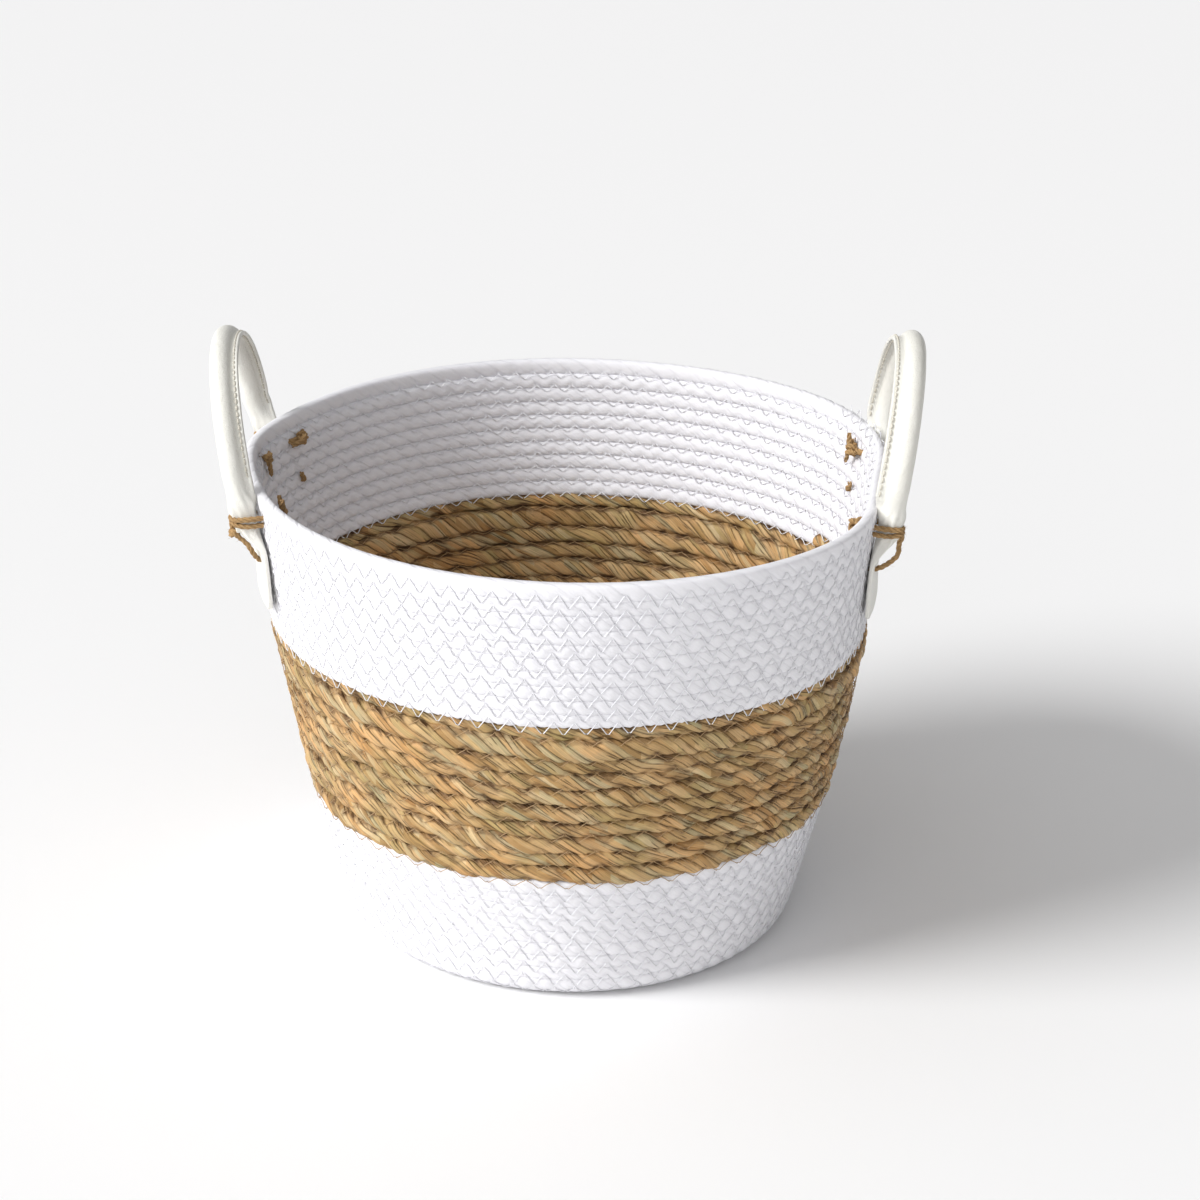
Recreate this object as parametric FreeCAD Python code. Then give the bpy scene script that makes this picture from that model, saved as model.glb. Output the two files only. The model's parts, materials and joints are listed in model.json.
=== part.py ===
import FreeCAD, Part
import math
import os
from FreeCAD import Vector

# Round storage basket sewn from coiled cord, with two tilting leather handles.
# Millimetres, +Z up. The origin is the centre of the underside, on the floor.
# +X runs through the right handle and -Y is the front.

# ---- wall: outer radii at the seams between the bands ----
rim_outer_radius = 148.5
upper_seam_radius = 140.4
lower_seam_radius = 123.3
base_outer_radius = 106.2

# ---- wall: heights of the bands, from the rim down ----
rim_row_height = 7.0
upper_band_height = 62.0
seagrass_band_height = 84.2
lower_band_height = 68.8

# ---- wall: cord rows ----
wall_thickness = 7.0
white_cord_pitch = 7.0
seagrass_cord_pitch = 8.4
groove_depth = 0.9
corner_radius = 13.0

# ---- base ----
base_thickness = 7.0
turned_row_width = 18.0
base_cord_pitch = 7.2

# ---- sewing thread, laid as one ring in each groove ----
thread_half_width = 0.35
thread_standoff = 0.5

# ---- handles ----
leg_azimuth = 20.5
handle_lean = 9.5
handle_standoff = 9.0
pivot_above_rim = 4.0
tube_radius = 5.2
leather_thickness = 1.3
core_clearance = 0.2
flange_width = 3.4
flange_start_angle = 14.0
seam_end_gap_angle = 2.0
core_start_angle = 3.0
core_end_gap_angle = 1.0
seam_from_edge = 1.6
seam_thread_radius = 0.3

# ---- tabs that tie each leg of a handle to the wall ----
tie_row = 1
stitch_row = 4
tab_length = 44.0
tab_width = 21.0
tab_gap = 0.15
neck_clearance = 0.6
neck_top_size = 9.4
neck_tie_depth = 7.6
neck_tie_width = 9.6
neck_tie_standoff = 7.2
neck_foot_below_tie = 11.0
neck_corner_share = 0.46
neck_waist_margin = 0.3
tab_overlap = 5.0

# ---- jute twine ----
twine_radius = 1.15
twine_hole_clearance = 0.2
twine_gap = 0.15
turn_gap = 0.3
twine_bend_radius = 1.6
stitch_end_clearance = 0.5
knot_ring_radius = 2.6
knot_gap = 0.4
tail_length = 8.0
tail_angles = (-128.0, -38.0)

CUT_MARGIN = 4.0
TAB_SECTOR_ANGLE = 30.0
ROPE_VOLUME_TOLERANCE = 0.02

# ---- places worked out from the sizes above ----
lower_seam_z = lower_band_height
upper_seam_z = lower_seam_z + seagrass_band_height
rim_row_z = upper_seam_z + upper_band_height
rim_z = rim_row_z + rim_row_height
base_mat_radius = base_outer_radius - turned_row_width
wall_stations = [
    (0.0, base_outer_radius),
    (lower_seam_z, lower_seam_radius),
    (upper_seam_z, upper_seam_radius),
    (rim_z, rim_outer_radius),
]
pivot_z = rim_z + pivot_above_rim
pivot_radius = rim_outer_radius + handle_standoff
pivot_x = pivot_radius * math.cos(math.radians(leg_azimuth))
arch_radius = pivot_radius * math.sin(math.radians(leg_azimuth))
upper_rows = max(1, round(upper_band_height / white_cord_pitch))
tie_z = rim_row_z - (tie_row - 0.5) * upper_band_height / upper_rows
stitch_z = rim_row_z - (stitch_row - 0.5) * upper_band_height / upper_rows
core_radius = tube_radius - leather_thickness - core_clearance


def wall_span(z):
    """The two stations of the wall that height z lies between."""
    for low, high in zip(wall_stations, wall_stations[1:]):
        if z <= high[0]:
            break
    return low, high


def outer_radius(z):
    """Outer radius of the wall at height z, over the crests of the cord rows."""
    (z_low, r_low), (z_high, r_high) = wall_span(z)
    return r_low + (r_high - r_low) * (z - z_low) / (z_high - z_low)


def wall_slope(z):
    """Angle between the wall and the upright at height z."""
    (z_low, r_low), (z_high, r_high) = wall_span(z)
    return math.atan2(r_high - r_low, z_high - z_low)


def inner_radius(z):
    """Inner radius of the wall at height z, over the crests of the cord rows."""
    return outer_radius(z) - wall_thickness


def point(radius, z):
    """Point of a section that is turned round the basket's axis."""
    return Vector(radius, 0, z)


def line(start, end):
    return Part.LineSegment(start, end).toShape()


def arc(start, middle, end):
    return Part.Arc(start, middle, end).toShape()


def turn_solid(edges):
    """Solid of revolution about the basket's axis from a closed section."""
    face = Part.Face(Part.Wire(edges))
    return upright(face.revolve(Vector(0, 0, 0), Vector(0, 0, 1), 360))


def upright(solid):
    """The same solid with its faces pointing outwards."""
    if solid.Volume < 0:
        solid.reverse()
    return solid


def groove_heights(z_low, z_high, pitch):
    """Heights of the grooves between cord rows, both ends included."""
    rows = max(1, round((z_high - z_low) / pitch))
    return [z_low + (z_high - z_low) * i / rows for i in range(rows + 1)]


def outside_rows(heights):
    """Bulging outer edges of the cord rows, upwards."""
    edges = []
    for low, high in zip(heights, heights[1:]):
        middle = (low + high) / 2
        edges.append(arc(
            point(outer_radius(low) - groove_depth, low),
            point(outer_radius(middle), middle),
            point(outer_radius(high) - groove_depth, high)))
    return edges


def inside_rows(heights):
    """Bulging inner edges of the cord rows, downwards."""
    edges = []
    downwards = heights[::-1]
    for high, low in zip(downwards, downwards[1:]):
        middle = (low + high) / 2
        edges.append(arc(
            point(inner_radius(high) + groove_depth, high),
            point(inner_radius(middle), middle),
            point(inner_radius(low) + groove_depth, low)))
    return edges


def seam_line(z, upwards_side):
    """Flat joint across the wall at height z, towards the inside or the outside."""
    outside = point(outer_radius(z) - groove_depth, z)
    inside = point(inner_radius(z) + groove_depth, z)
    return line(outside, inside) if upwards_side else line(inside, outside)


def wall_band(z_low, z_high, pitch):
    """One band of the wall, rows stacked from z_low to z_high."""
    heights = groove_heights(z_low, z_high, pitch)
    edges = outside_rows(heights) + [seam_line(z_high, True)]
    edges += inside_rows(heights) + [seam_line(z_low, False)]
    return turn_solid(edges)


def corner_arc():
    """Rounded bottom corner: its point on the floor, its middle and its point on the wall."""
    slope = math.atan2(lower_seam_radius - base_outer_radius, lower_seam_z)
    tangent = corner_radius / math.tan((math.pi / 2 + slope) / 2)
    floor_radius = base_outer_radius - tangent
    wall_z = tangent * math.cos(slope)
    middle_angle = -(math.pi / 2 + slope) / 2
    centre = point(floor_radius, corner_radius)
    middle = centre + point(
        corner_radius * math.cos(middle_angle), corner_radius * math.sin(middle_angle))
    return point(floor_radius, 0), middle, point(outer_radius(wall_z), wall_z)


def lower_band():
    """Lower white band with its corner row turned under to meet the base."""
    floor_point, corner_middle, wall_point = corner_arc()
    heights = groove_heights(wall_point.z, lower_seam_z, white_cord_pitch)
    first_groove = point(outer_radius(heights[0]) - groove_depth, heights[0])
    inside_heights = groove_heights(base_thickness, lower_seam_z, white_cord_pitch)
    inner_foot = point(inner_radius(base_thickness) + groove_depth, base_thickness)
    edges = [line(point(base_mat_radius, 0), floor_point)]
    edges.append(arc(floor_point, corner_middle, wall_point))
    edges.append(line(wall_point, first_groove))
    edges += outside_rows(heights) + [seam_line(lower_seam_z, True)] + inside_rows(inside_heights)
    edges.append(line(inner_foot, point(base_mat_radius, base_thickness)))
    edges.append(line(point(base_mat_radius, base_thickness), point(base_mat_radius, 0)))
    return turn_solid(edges)


def base_grooves():
    """Radii of the grooves between the coils of the base, outwards."""
    rows = max(2, round(base_mat_radius / base_cord_pitch))
    return [base_mat_radius * (i + 1) / rows for i in range(rows)]


def base_mat():
    """Coiled base: flat underneath, coils bulging on top."""
    radii = base_grooves()
    groove_z = base_thickness - groove_depth
    edges = [line(point(0, base_thickness), point(radii[0] / 2, base_thickness))]
    edges.append(line(point(radii[0] / 2, base_thickness), point(radii[0], groove_z)))
    for low, high in zip(radii, radii[1:]):
        edges.append(arc(
            point(low, groove_z), point((low + high) / 2, base_thickness), point(high, groove_z)))
    edges.append(line(point(base_mat_radius, groove_z), point(base_mat_radius, 0)))
    edges.append(line(point(base_mat_radius, 0), point(0, 0)))
    edges.append(line(point(0, 0), point(0, base_thickness)))
    return turn_solid(edges)


def rim_row():
    """Topmost cord row, with a round top."""
    half = wall_thickness / 2
    crest_z = rim_z - half
    outside = point(rim_outer_radius, crest_z)
    inside = point(rim_outer_radius - wall_thickness, crest_z)
    edges = [line(point(outer_radius(rim_row_z) - groove_depth, rim_row_z), outside)]
    edges.append(arc(outside, point(rim_outer_radius - half, rim_z), inside))
    edges.append(line(inside, point(inner_radius(rim_row_z) + groove_depth, rim_row_z)))
    edges.append(seam_line(rim_row_z, False))
    return turn_solid(edges)


def thread_ring(radius, z):
    """One ring of sewing thread with a square section set on its corner."""
    half = thread_half_width
    corners = [
        point(radius + half, z),
        point(radius, z + half),
        point(radius - half, z),
        point(radius, z - half),
    ]
    return turn_solid([line(a, b) for a, b in zip(corners, corners[1:] + corners[:1])])


def thread_rings(heights):
    """Sewing thread as one ring in each groove on the outside of the wall."""
    return Part.makeCompound(
        [thread_ring(outer_radius(z) - groove_depth + thread_standoff, z) for z in heights])


def base_thread():
    """Sewing thread as one ring in each groove on the inside of the base."""
    z = base_thickness - groove_depth + thread_standoff
    return Part.makeCompound([thread_ring(radius, z) for radius in base_grooves()[:-1]])


def rounded_path(points, bend_radius, closed):
    """Wire of straight runs joined by tangent arcs of one radius."""
    count = len(points)
    corners = range(count) if closed else range(1, count - 1)
    turns = []
    for i in corners:
        here = points[i]
        back = (points[i - 1] - here).normalize()
        ahead = (points[(i + 1) % count] - here).normalize()
        half_angle = back.getAngle(ahead) / 2
        cut = bend_radius / math.tan(half_angle)
        bisector = (back + ahead).normalize()
        centre = here + bisector * (bend_radius / math.sin(half_angle))
        turns.append((here + back * cut, centre - bisector * bend_radius, here + ahead * cut))
    edges = []
    place = turns[-1][2] if closed else points[0]
    for entry, middle, leave in turns:
        edges.append(line(place, entry))
        edges.append(arc(entry, middle, leave))
        place = leave
    if not closed:
        edges.append(line(place, points[-1]))
    return Part.Wire(edges)


def rope(path, radius):
    """Round rope along a wire, checked against its section times its length."""
    start = path.Edges[0]
    circle = Part.Circle(start.Vertexes[0].Point, start.tangentAt(start.FirstParameter), radius)
    solid = upright(path.makePipeShell([Part.Wire(circle.toShape())], True, False))
    expected = math.pi * radius ** 2 * path.Length
    if abs(solid.Volume / expected - 1) > ROPE_VOLUME_TOLERANCE:
        raise ValueError("a rope's volume differs from its section times its length")
    return solid


def capsule(start, end, radius):
    """Short straight rope end with round tips."""
    along = end - start
    body = Part.makeCylinder(radius, along.Length, start, along)
    tips = [Part.makeSphere(radius, start), Part.makeSphere(radius, end)]
    return body.multiFuse(tips).removeSplitter()


def place_leg(shape, side_angle, end_sign):
    """Turn a piece made on the +X side to its leg of its handle."""
    placed = shape.copy()
    placed.rotate(Vector(0, 0, 0), Vector(0, 0, 1), side_angle + end_sign * leg_azimuth)
    return placed


def tab_plate():
    """Flat end of the strap, following the slope and curve of the wall."""
    top_z = tie_z - neck_foot_below_tie + tab_overlap
    end_z = tie_z - tab_length
    heights = [end_z - CUT_MARGIN]
    heights += [z for z, _ in wall_stations if end_z - CUT_MARGIN < z < top_z + CUT_MARGIN]
    heights.append(top_z + CUT_MARGIN)
    near = tab_gap
    far = tab_gap + 2 * leather_thickness
    corners = [point(outer_radius(z) + near, z) for z in heights]
    corners += [point(outer_radius(z) + far, z) for z in reversed(heights)]
    section = Part.Face(Part.makePolygon(corners + corners[:1]))
    section.rotate(Vector(0, 0, 0), Vector(0, 0, 1), -TAB_SECTOR_ANGLE / 2)
    shell = upright(section.revolve(Vector(0, 0, 0), Vector(0, 0, 1), TAB_SECTOR_ANGLE))
    half = tab_width / 2
    round_z = end_z + half
    outline = Part.Wire([
        line(Vector(0, half, top_z), Vector(0, -half, top_z)),
        line(Vector(0, -half, top_z), Vector(0, -half, round_z)),
        arc(Vector(0, -half, round_z), Vector(0, 0, end_z), Vector(0, half, round_z)),
        line(Vector(0, half, round_z), Vector(0, half, top_z)),
    ])
    prism = Part.Face(outline).extrude(Vector(pivot_radius + CUT_MARGIN, 0, 0))
    return shell.common(prism)


def strap_section(radius, z, depth, width):
    """Rounded level section of the strap, centred at a distance from the axis."""
    corners = [
        Vector(radius - depth / 2, -width / 2, z),
        Vector(radius + depth / 2, -width / 2, z),
        Vector(radius + depth / 2, width / 2, z),
        Vector(radius - depth / 2, width / 2, z),
    ]
    return rounded_path(corners, min(depth, width) * neck_corner_share, True)


def neck_top_z():
    """Height of the top of a neck, clear of the handle that tilts above it."""
    return pivot_z - tube_radius - neck_clearance


def waist_half_height():
    """Half the height of the straight waist that a lashing goes round."""
    return 2 * twine_radius + turn_gap / 2 + neck_waist_margin


def neck():
    """Gathered part of the strap between its tab and the handle above."""
    top_z = neck_top_z()
    lean = math.tan(math.radians(handle_lean))
    foot_z = tie_z - neck_foot_below_tie
    foot_depth = 2 * leather_thickness
    foot_radius = outer_radius(foot_z) + tab_gap + foot_depth / 2
    waist_radius = outer_radius(tie_z) + neck_tie_standoff
    waist_half = waist_half_height()
    sections = [
        strap_section(foot_radius, foot_z, foot_depth, tab_width - 2 * leather_thickness),
        strap_section(waist_radius, tie_z - waist_half, neck_tie_depth, neck_tie_width),
        strap_section(waist_radius, tie_z + waist_half, neck_tie_depth, neck_tie_width),
        strap_section(pivot_radius - (pivot_z - top_z) * lean, top_z, neck_top_size, neck_top_size),
    ]
    return upright(Part.makeLoft(sections, True, True))


def twine_drills(z_list, y_list):
    """Round holes for the twine, through the tab and the wall."""
    radius = twine_radius + twine_hole_clearance
    start = inner_radius(min(z_list)) - CUT_MARGIN
    length = pivot_radius - start
    drills = []
    for z in z_list:
        for y in y_list:
            drills.append(Part.makeCylinder(radius, length, Vector(start, y, z), Vector(1, 0, 0)))
    return drills


def lashing_half_width():
    """Half the distance between the two strands that pass each side of a neck."""
    return neck_tie_width / 2 + twine_radius + twine_gap


def turn_heights():
    """Heights of the two turns of a lashing."""
    half_spacing = twine_radius + turn_gap / 2
    return [tie_z - half_spacing, tie_z + half_spacing]


def wall_drills():
    """All holes in the wall at one leg."""
    half = lashing_half_width()
    return twine_drills(turn_heights(), [-half, half]) + twine_drills([stitch_z], [0.0])


def tab():
    """Leather end of a strap: neck and flat tab in one piece, with its stitch hole."""
    plate = tab_plate()
    joined = plate.fuse(neck())
    return joined.cut(twine_drills([stitch_z], [0.0])[0]).removeSplitter()


def inner_twine_radius(z):
    """Distance from the axis of a strand of twine that lies on the inside of the wall."""
    return inner_radius(z) - (twine_radius + twine_gap) / math.cos(wall_slope(z))


def lashing():
    """Two turns of twine through the wall and round a neck."""
    half = lashing_half_width()
    outside = outer_radius(tie_z) + neck_tie_standoff + neck_tie_depth / 2 + twine_radius + twine_gap
    turns = []
    for z in turn_heights():
        inside = inner_twine_radius(z)
        corners = [
            Vector(inside, -half, z),
            Vector(outside, -half, z),
            Vector(outside, half, z),
            Vector(inside, half, z),
        ]
        turns.append(rope(rounded_path(corners, twine_bend_radius, True), twine_radius))
    return Part.makeCompound(turns)


def stitch():
    """Twine from under the lashing, over the tab, through the wall and up inside."""
    top_z = tie_z - waist_half_height() - twine_radius - stitch_end_clearance
    outside_low = outer_radius(stitch_z) + tab_gap + 2 * leather_thickness + twine_radius + twine_gap
    outside_top = outer_radius(tie_z) + neck_tie_standoff + neck_tie_depth / 2
    route = [
        Vector(outside_top, 0, top_z),
        Vector(outside_low, 0, stitch_z),
        Vector(inner_twine_radius(stitch_z), 0, stitch_z),
        Vector(inner_twine_radius(top_z), 0, top_z),
    ]
    return rope(rounded_path(route, twine_bend_radius, False), twine_radius)


def inner_knot():
    """Knot of the twine over the lashing on the inside of the wall, with its two short tails."""
    slope = wall_slope(tie_z)
    inwards = Vector(-math.cos(slope), 0, math.sin(slope))
    upwards = Vector(math.sin(slope), 0, math.cos(slope))
    stand = twine_gap + 2 * twine_radius + knot_gap + twine_radius
    centre = Vector(inner_radius(tie_z), 0, tie_z) + inwards * stand
    knot = Part.makeTorus(knot_ring_radius, twine_radius, centre, inwards)
    tails = []
    for angle in tail_angles:
        direction = upwards * math.sin(math.radians(angle))
        direction += Vector(0, math.cos(math.radians(angle)), 0)
        start = centre + direction * knot_ring_radius
        tails.append(capsule(start, start + direction * tail_length, twine_radius))
    return knot.multiFuse(tails).removeSplitter()


def handle_ring(section_edges, start_angle):
    """Sweep a closed section over the arch of the handle, from start_angle to its mirror."""
    face = Part.Face(Part.Wire(section_edges))
    axis = Vector(1, 0, 0)
    face.rotate(Vector(0, 0, 0), axis, start_angle)
    return upright(face.revolve(Vector(0, 0, 0), axis, 180 - 2 * start_angle))


def tube_section(radius, x=0.0, extra=0.0):
    """Round section of the handle at its right-hand leg."""
    return [Part.Circle(Vector(x, arch_radius + extra, 0), Vector(0, 0, 1), radius).toShape()]


def place_handle(shape, side_angle):
    """Lean a handle made about the origin and put it at its pivot, on its side."""
    placed = shape.copy()
    placed.rotate(Vector(0, 0, 0), Vector(0, 1, 0), handle_lean)
    placed.translate(Vector(pivot_x, 0, pivot_z))
    placed.rotate(Vector(0, 0, 0), Vector(0, 0, 1), side_angle)
    return placed


def handle_cover():
    """Leather folded round the core, with a sewn flange on the basket's side."""
    tube = handle_ring(tube_section(tube_radius), 0)
    ends = [Part.makeSphere(tube_radius, Vector(0, sign * arch_radius, 0)) for sign in (-1, 1)]
    inner = -(tube_radius + flange_width)
    outer = -(tube_radius - leather_thickness)
    low = arch_radius - leather_thickness
    high = arch_radius + leather_thickness
    corners = [Vector(inner, low, 0), Vector(outer, low, 0), Vector(outer, high, 0), Vector(inner, high, 0)]
    flange_edges = [line(a, b) for a, b in zip(corners, corners[1:] + corners[:1])]
    flange = handle_ring(flange_edges, flange_start_angle)
    cavity = handle_ring(tube_section(tube_radius - leather_thickness), core_start_angle)
    return tube.multiFuse(ends + [flange]).cut(cavity).removeSplitter()


def handle_core():
    """Cord that fills the round part of the handle."""
    return handle_ring(tube_section(core_radius), core_start_angle + core_end_gap_angle)


def handle_seam():
    """Sewing thread along both faces of the flange."""
    x = -(tube_radius + flange_width - seam_from_edge)
    offset = leather_thickness + seam_thread_radius
    rows = []
    for side in (-1, 1):
        section = tube_section(seam_thread_radius, x, side * offset)
        rows.append(handle_ring(section, flange_start_angle + seam_end_gap_angle))
    return Part.makeCompound(rows)


def save(name, shape):
    """Write one named node and print its size."""
    shape.exportStep(os.path.join("parts", name + ".step"))
    print(f"{name:22s} solids {len(shape.Solids)}  volume {shape.Volume / 1000:.2f} cm3")


def main():
    os.makedirs("parts", exist_ok=True)
    sides = {"left": 180.0, "right": 0.0}
    ends = {"front": -1, "rear": 1}
    legs = []
    for side, side_angle in sides.items():
        for end, end_sign in ends.items():
            sign = end_sign if side == "right" else -end_sign
            legs.append((f"{side}_{end}", side_angle, sign))

    save("base_mat", base_mat())
    save("base_thread", base_thread())
    save("lower_band", lower_band())
    corner_top = corner_arc()[2].z
    save("lower_band_thread", thread_rings(groove_heights(corner_top, lower_seam_z, white_cord_pitch)[1:]))
    save("seagrass_band", wall_band(lower_seam_z, upper_seam_z, seagrass_cord_pitch))
    seagrass_grooves = groove_heights(lower_seam_z, upper_seam_z, seagrass_cord_pitch)
    save("seagrass_band_thread", thread_rings(seagrass_grooves[1:-1]))
    drills = [place_leg(d, angle, sign) for _, angle, sign in legs for d in wall_drills()]
    save("upper_band", wall_band(upper_seam_z, rim_row_z, white_cord_pitch).cut(drills))
    upper_grooves = groove_heights(upper_seam_z, rim_row_z, white_cord_pitch)
    save("upper_band_thread", thread_rings(upper_grooves))
    save("rim_row", rim_row())

    leg_pieces = {"tab": tab(), "lashing": lashing(), "stitch": stitch(), "knot": inner_knot()}
    for leg, angle, sign in legs:
        for piece, shape in leg_pieces.items():
            save(f"{leg}_{piece}", place_leg(shape, angle, sign))

    handle_pieces = {"cover": handle_cover(), "core": handle_core(), "seam": handle_seam()}
    for side, side_angle in sides.items():
        for piece, shape in handle_pieces.items():
            save(f"{side}_handle_{piece}", place_handle(shape, side_angle))


main()
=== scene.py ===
import json
import logging
import math
from dataclasses import dataclass, field
from enum import Enum

import bpy
import numpy as np
from mathutils import Matrix, Vector


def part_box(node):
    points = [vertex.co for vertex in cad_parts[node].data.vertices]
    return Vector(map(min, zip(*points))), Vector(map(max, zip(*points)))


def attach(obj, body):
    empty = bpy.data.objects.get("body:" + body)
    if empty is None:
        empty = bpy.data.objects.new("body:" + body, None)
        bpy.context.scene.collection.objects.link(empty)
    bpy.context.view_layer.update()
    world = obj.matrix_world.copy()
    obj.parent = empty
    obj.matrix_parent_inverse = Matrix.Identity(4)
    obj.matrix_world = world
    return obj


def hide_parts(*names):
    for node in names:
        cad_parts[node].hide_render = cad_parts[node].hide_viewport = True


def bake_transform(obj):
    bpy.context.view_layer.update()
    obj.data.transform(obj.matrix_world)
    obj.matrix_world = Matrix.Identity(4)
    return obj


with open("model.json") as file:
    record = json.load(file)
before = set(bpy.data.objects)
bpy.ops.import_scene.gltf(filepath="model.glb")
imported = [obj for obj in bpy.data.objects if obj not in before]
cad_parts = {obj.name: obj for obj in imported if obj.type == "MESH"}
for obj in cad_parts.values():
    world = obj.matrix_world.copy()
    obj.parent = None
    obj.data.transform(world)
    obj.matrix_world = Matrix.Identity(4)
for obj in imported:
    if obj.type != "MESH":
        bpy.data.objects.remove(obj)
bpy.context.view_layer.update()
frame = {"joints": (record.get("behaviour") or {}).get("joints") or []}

# Woven basket: coiled paper cord and seagrass, sewn with zigzag thread, with two
# leather handles tied on with jute twine. Metres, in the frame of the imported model.

LOG = logging.getLogger("basket")
TURN = 2.0 * math.pi
SEED = 7


class Side(Enum):
    """The two handles, by the sign of their X."""

    LEFT = -1
    RIGHT = 1


class End(Enum):
    """The two legs of a handle, by the sign of their Y."""

    FRONT = -1
    REAR = 1


class Face(Enum):
    """The two faces of the wall, by the sign of the distance from its middle."""

    OUTSIDE = 1
    INSIDE = -1


# ---------------------------------------------------------------- small helpers


def smooth(x: np.ndarray) -> np.ndarray:
    """Smooth step from 0 to 1, flat outside that range."""
    x = np.clip(x, 0.0, 1.0)
    return x * x * (3.0 - 2.0 * x)


def triangle(phase: np.ndarray) -> np.ndarray:
    """Triangle wave: -1 at whole phases and +1 halfway between them."""
    return 4.0 * np.abs(phase - np.floor(phase + 0.5)) - 1.0


def wander(x: np.ndarray, spacing: float, rng: np.random.Generator) -> np.ndarray:
    """Smooth random curve.

    Args:
        x: places along the curve, increasing.
        spacing: distance between its random knots.
        rng: source of the knots.

    Returns:
        One value between -1 and 1 for each place.
    """
    start = float(np.min(x))
    count = int((float(np.max(x)) - start) / spacing) + 4
    knots = rng.uniform(-1.0, 1.0, count)
    at = (x - start) / spacing
    low = np.floor(at).astype(int)
    return knots[low] + (knots[low + 1] - knots[low]) * smooth(at - low)


def unit(vectors: np.ndarray) -> np.ndarray:
    """Vectors of length 1 along the last axis."""
    return vectors / np.maximum(np.linalg.norm(vectors, axis=-1, keepdims=True), 1e-12)


def lengths_along(path: np.ndarray) -> np.ndarray:
    """Length of a path from its start to each of its points."""
    steps = np.linalg.norm(np.diff(path, axis=0), axis=1)
    return np.concatenate([[0.0], np.cumsum(steps)])


def values_at(at: np.ndarray, along: np.ndarray, values: np.ndarray) -> np.ndarray:
    """Points or directions of a path at some lengths.

    Args:
        at: one length from the start of the path, or several.
        along: length at each point of the path.
        values: coordinates at each point of the path.

    Returns:
        The coordinates at those lengths.
    """
    return np.stack([np.interp(at, along, column) for column in values.T], -1)


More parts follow.
